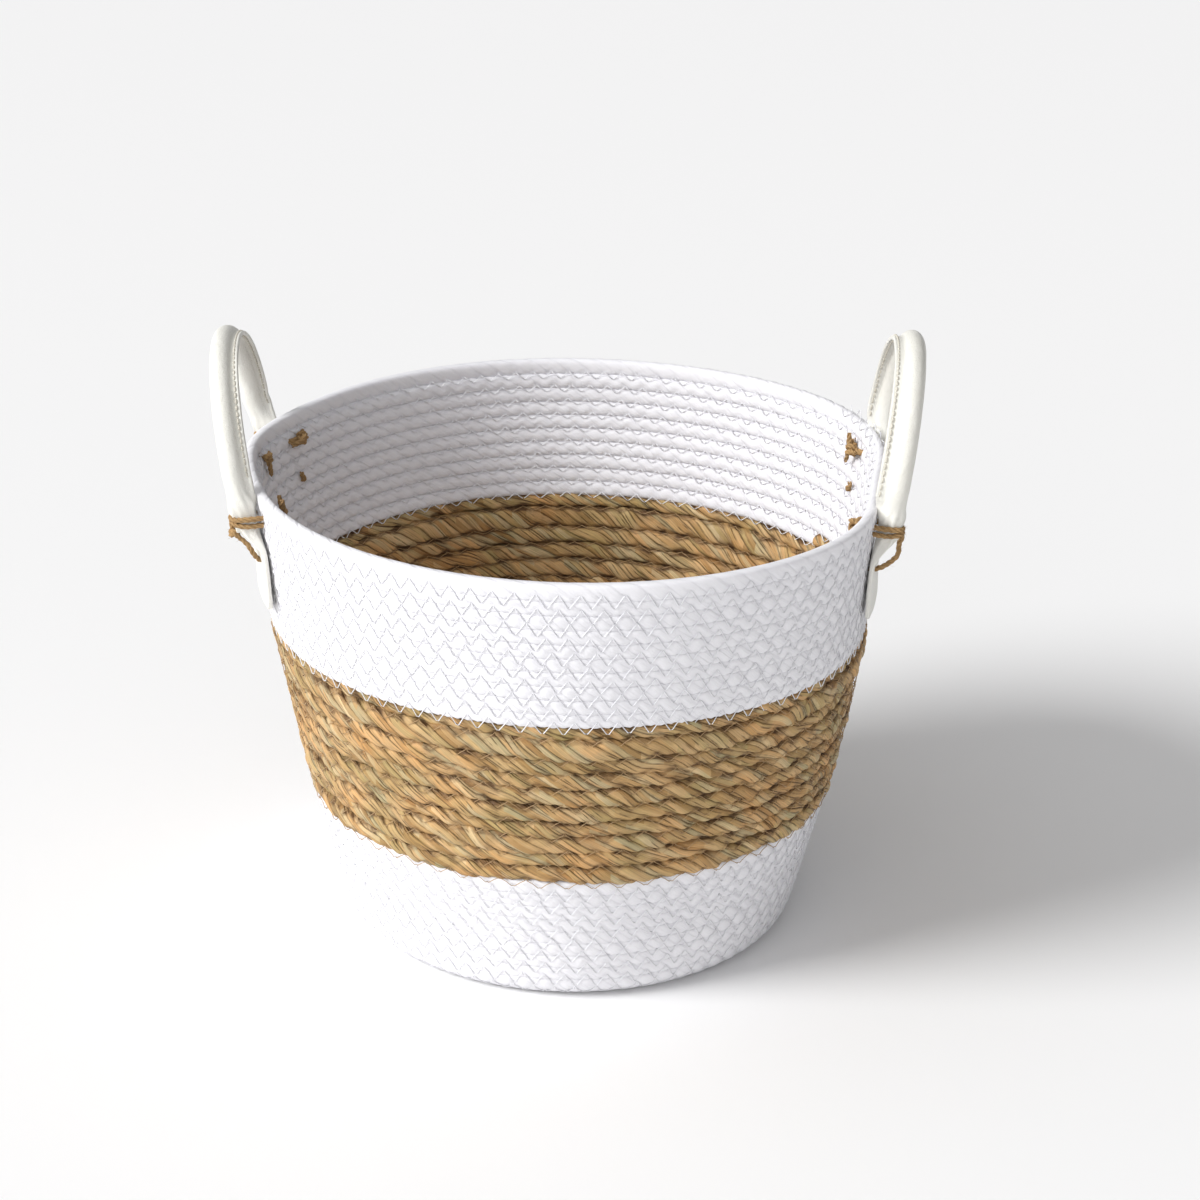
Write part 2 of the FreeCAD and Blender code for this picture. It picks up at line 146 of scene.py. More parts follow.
@dataclass
class MeshStore:
    """Collects tubes, and makes one mesh object of them."""

    points: list[np.ndarray] = field(default_factory=list)
    faces: list[np.ndarray] = field(default_factory=list)
    uvs: list[np.ndarray] = field(default_factory=list)
    # Share of painted shade in the grooves for each point, one array per tube.
    painted_groove_shades: list[np.ndarray] = field(default_factory=list)
    count: int = 0

    def add_tube(self, rings: np.ndarray, u: np.ndarray, v: np.ndarray, v_span: float,
                 cavity: np.ndarray | None = None) -> None:
        """Add a closed tube with capped ends.

        Args:
            rings: points, as ring by place in the ring by coordinate.
            u: texture coordinate of each ring.
            v: texture coordinate of each point, as ring by place.
            v_span: how much v grows once round a ring.
            cavity: how deep in a groove each point lies, from 0 to 1, which the cord finishes use to
                paint shade into their colour.
        """
        n, m, _ = rings.shape
        i, j = np.meshgrid(np.arange(n - 1), np.arange(m), indexing="ij")
        k = (j + 1) % m
        quads = np.stack([i * m + j, i * m + k, (i + 1) * m + k, (i + 1) * m + j], -1).reshape(-1, 4)
        wrap = np.where(j + 1 == m, v_span, 0.0)
        u_low = u[i]
        u_high = u[i + 1]
        corners = [
            np.stack([u_low, v[i, j]], -1),
            np.stack([u_low, v[i, k] + wrap], -1),
            np.stack([u_high, v[i + 1, k] + wrap], -1),
            np.stack([u_high, v[i + 1, j]], -1),
        ]
        uv = np.stack(corners, 2).reshape(-1, 4, 2)
        centres = np.stack([rings[0].mean(0), rings[-1].mean(0)])
        around = np.arange(m)
        after = (around + 1) % m
        first = np.stack([np.full(m, n * m), after, around, around], -1)
        last = np.stack([np.full(m, n * m + 1), (n - 1) * m + around, (n - 1) * m + after,
                         (n - 1) * m + after], -1)
        cap_uv = np.zeros((2 * m, 4, 2))
        cap_uv[:m, :, 0] = u[0]
        cap_uv[m:, :, 0] = u[-1]
        cap_uv[..., 1] = v[0, 0]
        points = np.concatenate([rings.reshape(-1, 3), centres])
        faces = np.concatenate([quads, first, last])
        depth = np.zeros(n * m + 2)
        if cavity is not None:
            depth[:n * m] = cavity.ravel()
        self.painted_groove_shades.append(depth)
        self.add_faces(points, faces, np.concatenate([uv, cap_uv]))

    def add_faces(self, points: np.ndarray, faces: np.ndarray, uv: np.ndarray) -> None:
        """Add a closed shape; a face that repeats its last corner is a triangle.

        Args:
            points: its points.
            faces: its faces, four corners each.
            uv: texture coordinates, as face by corner.
        """
        a, b, c, d = (points[faces[:, n]] for n in range(4))
        volume = np.einsum("ij,ij->", a, np.cross(b, c)) + np.einsum("ij,ij->", a, np.cross(c, d))
        if volume < 0.0:
            faces = np.where(faces[:, 3:] == faces[:, 2:3], faces[:, [0, 2, 1, 1]], faces[:, ::-1])
            flipped = uv[:, ::-1]
            swapped = uv[:, [0, 2, 1, 1]]
            is_triangle = (faces[:, 3] == faces[:, 2])[:, None, None]
            uv = np.where(is_triangle, swapped, flipped)
        self.points.append(points)
        self.faces.append(faces + self.count)
        self.uvs.append(uv)
        self.count += len(points)

    def make(self, name: str, uv_name: str = "cord") -> bpy.types.Object:
        """Make the object.

        Args:
            name: name of the piece.
            uv_name: name of its texture coordinates.

        Returns:
            The new object, smooth shaded, at the origin.
        """
        faces = np.concatenate(self.faces)
        uv = np.concatenate(self.uvs)
        points = np.concatenate(self.points)
        is_triangle = faces[:, 3] == faces[:, 2]
        keep = np.ones(faces.shape, bool)
        keep[is_triangle, 3] = False
        totals = np.where(is_triangle, 3, 4)
        starts = np.concatenate([[0], np.cumsum(totals)[:-1]])
        mesh = bpy.data.meshes.new(name)
        mesh.vertices.add(len(points))
        mesh.vertices.foreach_set("co", points.astype(np.float32).ravel())
        mesh.loops.add(int(totals.sum()))
        mesh.loops.foreach_set("vertex_index", faces[keep].astype(np.int32))
        mesh.polygons.add(len(faces))
        mesh.polygons.foreach_set("loop_start", starts.astype(np.int32))
        mesh.update(calc_edges=True)
        layer = mesh.uv_layers.new(name=uv_name)
        layer.data.foreach_set("uv", uv[keep].astype(np.float32).ravel())
        mesh.polygons.foreach_set("use_smooth", np.ones(len(faces), bool))
        # Mesh attribute with the share of painted shade in the grooves, read by the cord finishes.
        cavity = mesh.attributes.new("cavity", "FLOAT", "POINT")
        cavity.data.foreach_set("value", np.concatenate(self.painted_groove_shades).astype(np.float32))
        mesh.validate()
        mesh.update()
        piece = bpy.data.objects.new(name, mesh)
        bpy.context.scene.collection.objects.link(piece)
        return piece


def frames_along(path: np.ndarray, up: np.ndarray) -> tuple[np.ndarray, np.ndarray]:
    """Two directions square to a path.

    Args:
        path: points of the path.
        up: a direction for each point that isn't along the path.

    Returns:
        The direction nearest to up and the one square to it, for each point.
    """
    along = unit(np.gradient(path, axis=0))
    across = unit(np.cross(along, up))
    return np.cross(across, along), across


def round_tube(path: np.ndarray, up: np.ndarray, radius: np.ndarray, sides: int) -> np.ndarray:
    """Rings of a round tube along a path.

    Args:
        path: points of the path.
        up: direction for each point from which the ring's angle is counted.
        radius: radius at each point.
        sides: points in a ring.

    Returns:
        Ring by place by coordinate.
    """
    first, second = frames_along(path, up)
    angle = np.arange(sides) * TURN / sides
    cosine, sine = np.cos(angle)[None, :, None], np.sin(angle)[None, :, None]
    offset = first[:, None] * cosine + second[:, None] * sine
    return path[:, None] + offset * np.asarray(radius).reshape(-1, 1, 1)


def finish_piece(piece: bpy.types.Object, body: str, material: bpy.types.Material,
                 replaced: tuple[str, ...] = ()) -> bpy.types.Object:
    """Give a finished piece its material, its body and the nodes it stands for.

    Args:
        piece: the piece, in place.
        body: name of the body it rides on.
        material: its finish.
        replaced: CAD nodes that it stands for.

    Returns:
        The piece.
    """
    piece.data.materials.clear()
    piece.data.materials.append(material)
    if replaced:
        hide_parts(*replaced)
    if body:
        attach(piece, body)
    LOG.info("%s: %d faces", piece.name, len(piece.data.polygons))
    return piece


# ---------------------------------------------------------------- finishes


@dataclass
class NodeSheet:
    """A node tree with short calls for the nodes that the finishes use."""

    tree: bpy.types.NodeTree

    def add(self, kind: str, **settings: object) -> bpy.types.Node:
        """Add a node and set its properties.

        Args:
            kind: type name of the node.
            **settings: its properties.

        Returns:
            The node.
        """
        node = self.tree.nodes.new(kind)
        for key, value in settings.items():
            setattr(node, key, value)
        return node

    def join(self, source: object, target: object) -> None:
        """Link an output to an input."""
        self.tree.links.new(source, target)

    def feed(self, socket: bpy.types.NodeSocket, value: object) -> None:
        """Link a socket if the value is one, or else set it."""
        if isinstance(value, bpy.types.NodeSocket):
            self.join(value, socket)
        else:
            socket.default_value = value

    def cavity(self) -> object:
        """Share of painted shade in the grooves, from how deep in a groove the surface lies on the mesh.
        """
        return self.add("ShaderNodeAttribute", attribute_name="cavity").outputs["Fac"]

    def math(self, operation: str, first: object, second: object = 0.0, clamp: bool = False) -> object:
        """A Math node.

        Args:
            operation: what it does.
            first: its first value or link.
            second: its second value or link.
            clamp: whether the result is kept between 0 and 1.

        Returns:
            Its output.
        """
        node = self.add("ShaderNodeMath", operation=operation, use_clamp=clamp)
        self.feed(node.inputs[0], first)
        self.feed(node.inputs[1], second)
        return node.outputs[0]

    def mix(self, blend: str, factor: object, first: object, second: object) -> object:
        """A colour Mix node.

        Args:
            blend: how the colours are mixed.
            factor: share of the second colour.
            first: first colour.
            second: second colour.

        Returns:
            Its colour.
        """
        node = self.add("ShaderNodeMix", data_type="RGBA", blend_type=blend, clamp_factor=True)
        self.feed(node.inputs[0], factor)
        self.feed(node.inputs[6], first)
        self.feed(node.inputs[7], second)
        return node.outputs[2]

    def between(self, share: object, light: tuple[float, ...], shade: tuple[float, ...]) -> object:
        """Colour between a light and a shade, by the share of the shade."""
        return self.mix("MIX", share, (*light, 1.0), (*shade, 1.0))

    def noise(self, vector: object, scale: float, detail: float = 2.0, rough: float = 0.5) -> object:
        """Noise between 0 and 1 on the given coordinates.

        Args:
            vector: coordinates.
            scale: its scale.
            detail: number of finer layers.
            rough: strength of the finer layers.

        Returns:
            The value.
        """
        node = self.add("ShaderNodeTexNoise")
        self.join(vector, node.inputs["Vector"])
        node.inputs["Scale"].default_value = scale
        node.inputs["Detail"].default_value = detail
        node.inputs["Roughness"].default_value = rough
        return node.outputs["Fac"]

    def stretch(self, value: object, low: float, high: float, to_low: float = 0.0,
                to_high: float = 1.0) -> object:
        """Map a value from one range to another, clamped.

        Args:
            value: the value.
            low: start of its range.
            high: end of its range.
            to_low: result at the start.
            to_high: result at the end.

        Returns:
            The mapped value.
        """
        node = self.add("ShaderNodeMapRange", clamp=True)
        self.feed(node.inputs[0], value)
        for index, number in enumerate((low, high, to_low, to_high), start=1):
            node.inputs[index].default_value = number
        return node.outputs[0]

    def ramp(self, value: object, stops: list[tuple[float, tuple[float, float, float]]]) -> object:
        """Colour ramp.

        Args:
            value: place on the ramp.
            stops: places and colours, in order.

        Returns:
            The colour.
        """
        node = self.add("ShaderNodeValToRGB")
        ramp = node.color_ramp
        while len(ramp.elements) < len(stops):
            ramp.elements.new(1.0)
        for element, (place, colour) in zip(ramp.elements, stops):
            element.position = place
            element.color = (*colour, 1.0)
        self.feed(node.inputs[0], value)
        return node.outputs[0]

    def group(self, tree: bpy.types.NodeTree, **values: object) -> bpy.types.Node:
        """Place a node group with its own values.

        Args:
            tree: the group.
            **values: its inputs, with underscores for spaces.

        Returns:
            The group node.
        """
        node = self.add("ShaderNodeGroup", node_tree=tree)
        for key, value in values.items():
            self.feed(node.inputs[key.replace("_", " ")], value)
        return node


def new_group(name: str, inputs: dict[str, tuple[str, object]], outputs: dict[str, str]) -> tuple:
    """Start a shader node group.

    Args:
        name: its name.
        inputs: socket types and values by name.
        outputs: socket types by name.

    Returns:
        The tree, a NodeSheet on it, and its input and output nodes.
    """
    tree = bpy.data.node_groups.new(name, "ShaderNodeTree")
    for label, (kind, value) in inputs.items():
        socket = tree.interface.new_socket(name=label, in_out="INPUT", socket_type=kind)
        if value is not None:
            socket.default_value = value
    for label, kind in outputs.items():
        tree.interface.new_socket(name=label, in_out="OUTPUT", socket_type=kind)
    sheet = NodeSheet(tree)
    return tree, sheet, sheet.add("NodeGroupInput"), sheet.add("NodeGroupOutput")


FLOAT = "NodeSocketFloat"
VECTOR = "NodeSocketVector"


def strand_group() -> bpy.types.NodeTree:
    """Group that reads a cord's coordinates: along it in metres, and across it in strands.

    Returns:
        A group that gives the groove between strands, fine fibres and one random number per leaf.
    """
    tree, sheet, inside, out = new_group(
        "cord strands",
        {
            "Coordinates": (VECTOR, None),
            "Leaves per strand": (FLOAT, 2.0),
            "Fibres per strand": (FLOAT, 9.0),
            "Fibre stretch": (FLOAT, 60.0),
            "Leaf length": (FLOAT, 0.3),
        },
        {"Groove": FLOAT, "Fibres": FLOAT, "Leaf": FLOAT, "Leaf edge": FLOAT},
    )
    groove_power = 0.45
    drift_per_metre = 18.0
    drift_in_leaves = 1.4
    edge_width = 0.16
    leaf_stagger = 0.37
    split = sheet.add("ShaderNodeSeparateXYZ")
    sheet.join(inside.outputs["Coordinates"], split.inputs[0])
    along, across = split.outputs[0], split.outputs[1]
    fraction = sheet.math("FRACT", across)
    crown = sheet.math("SINE", sheet.math("MULTIPLY", fraction, math.pi))
    groove = sheet.math("SUBTRACT", 1.0, sheet.math("POWER", crown, groove_power), clamp=True)
    sheet.join(groove, out.inputs["Groove"])
    stretched = sheet.add("ShaderNodeCombineXYZ")
    sheet.join(sheet.math("MULTIPLY", along, inside.outputs["Fibre stretch"]), stretched.inputs[0])
    sheet.join(sheet.math("MULTIPLY", across, inside.outputs["Fibres per strand"]), stretched.inputs[1])
    sheet.join(sheet.noise(stretched.outputs[0], 1.0, 3.0, 0.6), out.inputs["Fibres"])
    leaves = sheet.math("MULTIPLY", across, inside.outputs["Leaves per strand"])
    drift = sheet.add("ShaderNodeCombineXYZ")
    sheet.join(sheet.math("MULTIPLY", along, drift_per_metre), drift.inputs[0])
    sheet.join(sheet.math("FLOOR", across), drift.inputs[1])
    sway = sheet.math("MULTIPLY", sheet.noise(drift.outputs[0], 1.0), drift_in_leaves)
    bent = sheet.math("ADD", leaves, sway)
    index = sheet.math("FLOOR", bent)
    edge = sheet.math("FRACT", bent)
    near = sheet.math("MINIMUM", edge, sheet.math("SUBTRACT", 1.0, edge))
    sheet.join(sheet.stretch(near, 0.0, edge_width, 1.0, 0.0), out.inputs["Leaf edge"])
    pick = sheet.add("ShaderNodeCombineXYZ")
    sheet.join(index, pick.inputs[0])
    length = sheet.math("DIVIDE", along, inside.outputs["Leaf length"])
    staggered = sheet.math("ADD", length, sheet.math("MULTIPLY", index, leaf_stagger))
    sheet.join(sheet.math("FLOOR", staggered), pick.inputs[1])
    random = sheet.add("ShaderNodeTexWhiteNoise", noise_dimensions="2D")
    sheet.join(pick.outputs[0], random.inputs["Vector"])
    sheet.join(random.outputs["Value"], out.inputs["Leaf"])
    return tree


def tone_group() -> bpy.types.NodeTree:
    """Group for slow changes of tone over the object, such as dust and handling.

    Returns:
        A group that gives a soft patch mask and a fine speckle mask on Object coordinates.
    """
    tree, sheet, inside, out = new_group(
        "slow tone",
        {"Patch size": (FLOAT, 12.0), "Speckle size": (FLOAT, 900.0)},
        {"Patches": FLOAT, "Speckle": FLOAT},
    )
    place = sheet.add("ShaderNodeTexCoord")
    for label, target in (("Patch size", "Patches"), ("Speckle size", "Speckle")):
        node = sheet.add("ShaderNodeTexNoise")
        sheet.join(place.outputs["Object"], node.inputs["Vector"])
        sheet.join(inside.outputs[label], node.inputs["Scale"])
        node.inputs["Detail"].default_value = 3.0
        sheet.join(node.outputs["Fac"], out.inputs[target])
    return tree


@dataclass
class FinishKit:
    """The node groups that the finishes share."""

    strands: bpy.types.NodeTree = field(default_factory=strand_group)
    tone: bpy.types.NodeTree = field(default_factory=tone_group)

    def cord_strands(self, sheet: NodeSheet, **values: float) -> bpy.types.Node:
        """Place the strands group on a cord's own coordinates, with values as in NodeSheet.group()."""
        uv = sheet.add("ShaderNodeUVMap", uv_map="cord")
        return sheet.group(self.strands, Coordinates=uv.outputs[0], **values)


def start_material(name: str) -> tuple[bpy.types.Material, NodeSheet, bpy.types.Node]:
    """New material with its Principled shader.

    Args:
        name: its name.

    Returns:
        The material, a NodeSheet on it and the shader.
    """
    material = bpy.data.materials.new(name)
    material.use_nodes = True
    sheet = NodeSheet(material.node_tree)
    return material, sheet, material.node_tree.nodes["Principled BSDF"]


def add_bump(sheet: NodeSheet, shader: bpy.types.Node, height: object, depth: float) -> None:
    """Feed the shader's normal from a height.

    Args:
        sheet: the material's nodes.
        shader: its Principled shader.
        height: height between 0 and 1.
        depth: what a height of 1 means, in metres.
    """
    bump = sheet.add("ShaderNodeBump")
    bump.inputs["Strength"].default_value = 1.0
    bump.inputs["Distance"].default_value = depth
    sheet.join(height, bump.inputs["Height"])
    sheet.join(bump.outputs[0], shader.inputs["Normal"])


@dataclass(frozen=True)
class PaperCord:
    """White twisted paper cord."""

    name: str = "white paper cord"
    light: tuple[float, float, float] = (0.88, 0.875, 0.90)
    shade: tuple[float, float, float] = (0.70, 0.69, 0.74)
    depth: float = 0.0004
    roughness: float = 0.78

    def build(self, kit: FinishKit) -> bpy.types.Material:
        """Build the material from the shared groups.

        Args:
            kit: the shared node groups.

        Returns:
            The material.
        """
        material, sheet, shader = start_material(self.name)
        strands = kit.cord_strands(sheet, Leaves_per_strand=3.0, Fibres_per_strand=7.0,
                                   Fibre_stretch=110.0, Leaf_length=0.05)
        tone = sheet.group(kit.tone, Patch_size=9.0, Speckle_size=1500.0)
        # Painted shade: the colour goes towards the shade colour in the grooves between strands, in the
        # fine creases and where the mesh marks painted groove shade; the patches are the cord's own
        # uneven tone.
        groove = sheet.stretch(strands.outputs["Groove"], 0.25, 1.0)
        crease = sheet.stretch(strands.outputs["Fibres"], 0.35, 0.7)
        dark = sheet.math("ADD", sheet.math("MULTIPLY", groove, 0.22),
                          sheet.math("MULTIPLY", sheet.math("SUBTRACT", 1.0, crease), 0.16))
        deep = sheet.math("ADD", dark, sheet.math("MULTIPLY", sheet.cavity(), 0.15))
        patch = sheet.math("ADD", deep, sheet.stretch(tone.outputs["Patches"], 0.45, 0.75, 0.0, 0.18))
        sheet.join(sheet.between(patch, self.light, self.shade), shader.inputs["Base Color"])
        shader.inputs["Roughness"].default_value = self.roughness
        shader.inputs["Specular IOR Level"].default_value = 0.3
        height = sheet.math("SUBTRACT", sheet.math("MULTIPLY", strands.outputs["Fibres"], 0.9),
                            sheet.math("MULTIPLY", groove, 0.6))
        fine = sheet.math("ADD", height, sheet.math("MULTIPLY", tone.outputs["Speckle"], 0.25))
        add_bump(sheet, shader, fine, self.depth)
        return material


@dataclass(frozen=True)
class SeagrassCord:
    """Dried rush leaves twisted into a cord."""

    name: str = "seagrass cord"
    shadow: tuple[float, float, float] = (0.12, 0.058, 0.018)
    depth: float = 0.0009
    roughness: float = 0.55

    def build(self, kit: FinishKit) -> bpy.types.Material:
        """Build the material from the shared groups.

        Args:
            kit: the shared node groups.

        Returns:
            The material.
        """
        material, sheet, shader = start_material(self.name)
        strands = kit.cord_strands(sheet, Leaves_per_strand=2.6, Fibres_per_strand=12.0,
                                   Fibre_stretch=60.0, Leaf_length=0.030)
        tone = sheet.group(kit.tone, Patch_size=42.0, Speckle_size=130.0)
        leaf = sheet.ramp(strands.outputs["Leaf"], [
            (0.0, (0.44, 0.25, 0.09)),
            (0.12, (0.55, 0.33, 0.13)),
            (0.28, (0.66, 0.42, 0.19)),
            (0.44, (0.68, 0.45, 0.22)),
            (0.58, (0.54, 0.38, 0.16)),
            (0.72, (0.67, 0.41, 0.18)),
            (0.88, (0.55, 0.44, 0.25)),
            (1.0, (0.76, 0.55, 0.30)),
        ])
        fibre = sheet.stretch(strands.outputs["Fibres"], 0.3, 0.72, 0.66, 1.14)
        shaded = sheet.mix("MULTIPLY", 1.0, leaf, self.grey(sheet, fibre))
        patch = sheet.stretch(tone.outputs["Patches"], 0.36, 0.64, 0.0, 1.0)
        tint = sheet.ramp(patch, [
            (0.0, (0.84, 0.88, 0.80)),
            (0.5, (0.97, 0.97, 0.95)),
            (1.0, (1.06, 0.96, 0.84)),
        ])
        toned = sheet.mix("MULTIPLY", 1.0, shaded, tint)
        # Painted shade: the colour goes towards the shadow colour in the gaps between strands, along the
        # cracks at leaf edges and where the mesh marks painted groove shade, broken up by speckle.
        gap = sheet.stretch(strands.outputs["Groove"], 0.42, 0.9)
        broken = sheet.stretch(tone.outputs["Speckle"], 0.42, 0.6, 0.0, 0.75)
        edges = sheet.math("MAXIMUM", gap, sheet.math("MULTIPLY", strands.outputs["Leaf edge"], broken))
        uneven = sheet.stretch(tone.outputs["Speckle"], 0.35, 0.6, 0.3, 1.0)
        deep = sheet.math("MULTIPLY", sheet.math("MAXIMUM", edges, sheet.cavity()), uneven)
        colour = sheet.mix("MIX", deep, toned, (*self.shadow, 1.0))
        sheet.join(colour, shader.inputs["Base Color"])
        sheet.join(sheet.stretch(strands.outputs["Fibres"], 0.2, 0.8, self.roughness - 0.1,
                                 self.roughness + 0.2), shader.inputs["Roughness"])
        shader.inputs["Specular IOR Level"].default_value = 0.45
        relief = sheet.math("SUBTRACT", sheet.math("MULTIPLY", strands.outputs["Fibres"], 0.45),
                            sheet.math("MULTIPLY", edges, 0.8))
        add_bump(sheet, shader, relief, self.depth)
        return material

    @staticmethod
    def grey(sheet: NodeSheet, value: object) -> object:
        """Grey colour of a value.

        Args:
            sheet: the material's nodes.
            value: how light it is.

        Returns:
            The colour.
        """
        node = sheet.add("ShaderNodeCombineColor")
        for channel in range(3):
            sheet.join(value, node.inputs[channel])
        return node.outputs[0]


@dataclass(frozen=True)
class SewingThread:
    """Smooth twisted sewing thread."""

    name: str
    light: tuple[float, float, float]
    shade: tuple[float, float, float]
    roughness: float = 0.45

    def build(self, kit: FinishKit) -> bpy.types.Material:
        """Build the material from the shared groups.

        Args:
            kit: the shared node groups.

        Returns:
            The material.
        """
        material, sheet, shader = start_material(self.name)
        strands = kit.cord_strands(sheet, Leaves_per_strand=1.0, Fibres_per_strand=5.0,
                                   Fibre_stretch=400.0, Leaf_length=0.02)
        # Painted shade in the grooves between the plies; the random share per ply is the thread's own
        # uneven tone.
        mask = sheet.math("ADD", sheet.math("MULTIPLY", strands.outputs["Groove"], 0.6),
                          sheet.math("MULTIPLY", strands.outputs["Leaf"], 0.35), clamp=True)
        sheet.join(sheet.between(mask, self.light, self.shade), shader.inputs["Base Color"])
        shader.inputs["Roughness"].default_value = self.roughness
        add_bump(sheet, shader, sheet.math("SUBTRACT", 1.0, strands.outputs["Groove"]), 0.0001)
        return material


@dataclass(frozen=True)
class Leather:
    """Smooth ivory leather with a fine grain."""

    name: str = "ivory leather"
    light: tuple[float, float, float] = (0.86, 0.85, 0.79)
    shade: tuple[float, float, float] = (0.72, 0.70, 0.62)
    roughness: float = 0.40

    def build(self, kit: FinishKit) -> bpy.types.Material:
        """Build the material from the shared groups.

        Args:
            kit: the shared node groups.

        Returns:
            The material.
        """
        material, sheet, shader = start_material(self.name)
        tone = sheet.group(kit.tone, Patch_size=35.0, Speckle_size=1400.0)
        place = sheet.add("ShaderNodeTexCoord")
        pores = sheet.add("ShaderNodeTexVoronoi", feature="DISTANCE_TO_EDGE")
        sheet.join(place.outputs["Object"], pores.inputs["Vector"])
        pores.inputs["Scale"].default_value = 1150.0
        grain = sheet.stretch(pores.outputs["Distance"], 0.0, 0.12)
        crease = sheet.stretch(sheet.noise(place.outputs["Object"], 260.0, 3.0, 0.6), 0.44, 0.56)
        worn = sheet.stretch(tone.outputs["Patches"], 0.42, 0.72, 0.0, 0.35)
        dark = sheet.math("ADD", worn, sheet.math("MULTIPLY", sheet.math("SUBTRACT", 1.0, grain), 0.12))
        sheet.join(sheet.between(dark, self.light, self.shade), shader.inputs["Base Color"])
        rough = sheet.stretch(tone.outputs["Speckle"], 0.3, 0.7, self.roughness - 0.06,
                              self.roughness + 0.1)
        sheet.join(rough, shader.inputs["Roughness"])
        shader.inputs["Coat Roughness"].default_value = 0.35
        shader.inputs["Coat Weight"].default_value = 0.12
        height = sheet.math("ADD", sheet.math("MULTIPLY", grain, 0.45),
                            sheet.math("MULTIPLY", crease, 0.55))
        add_bump(sheet, shader, height, 0.00016)
        return material


@dataclass(frozen=True)
class Jute:
    """Raw jute fibre."""

    name: str = "jute"
    light: tuple[float, float, float] = (0.56, 0.36, 0.16)
    shade: tuple[float, float, float] = (0.26, 0.15, 0.06)
    roughness: float = 0.8

    def build(self, kit: FinishKit) -> bpy.types.Material:
        """Build the material from the shared groups.

        Args:
            kit: the shared node groups.

        Returns:
            The material.
        """
        material, sheet, shader = start_material(self.name)
        strands = kit.cord_strands(sheet, Leaves_per_strand=5.0, Fibres_per_strand=8.0,
                                   Fibre_stretch=350.0, Leaf_length=0.006)
        tone = sheet.group(kit.tone, Patch_size=120.0, Speckle_size=1600.0)
        mask = sheet.math("ADD", sheet.math("MULTIPLY", strands.outputs["Leaf"], 0.4),
                          sheet.stretch(strands.outputs["Fibres"], 0.35, 0.7, 0.45, 0.0), clamp=True)
        worn = sheet.stretch(tone.outputs["Patches"], 0.4, 0.7, 0.0, 0.3)
        patch = sheet.math("ADD", mask, worn, clamp=True)
        sheet.join(sheet.between(patch, self.light, self.shade), shader.inputs["Base Color"])
        shader.inputs["Roughness"].default_value = self.roughness
        add_bump(sheet, shader, strands.outputs["Fibres"], 0.00025)
        return material


# ---------------------------------------------------------------- the wall


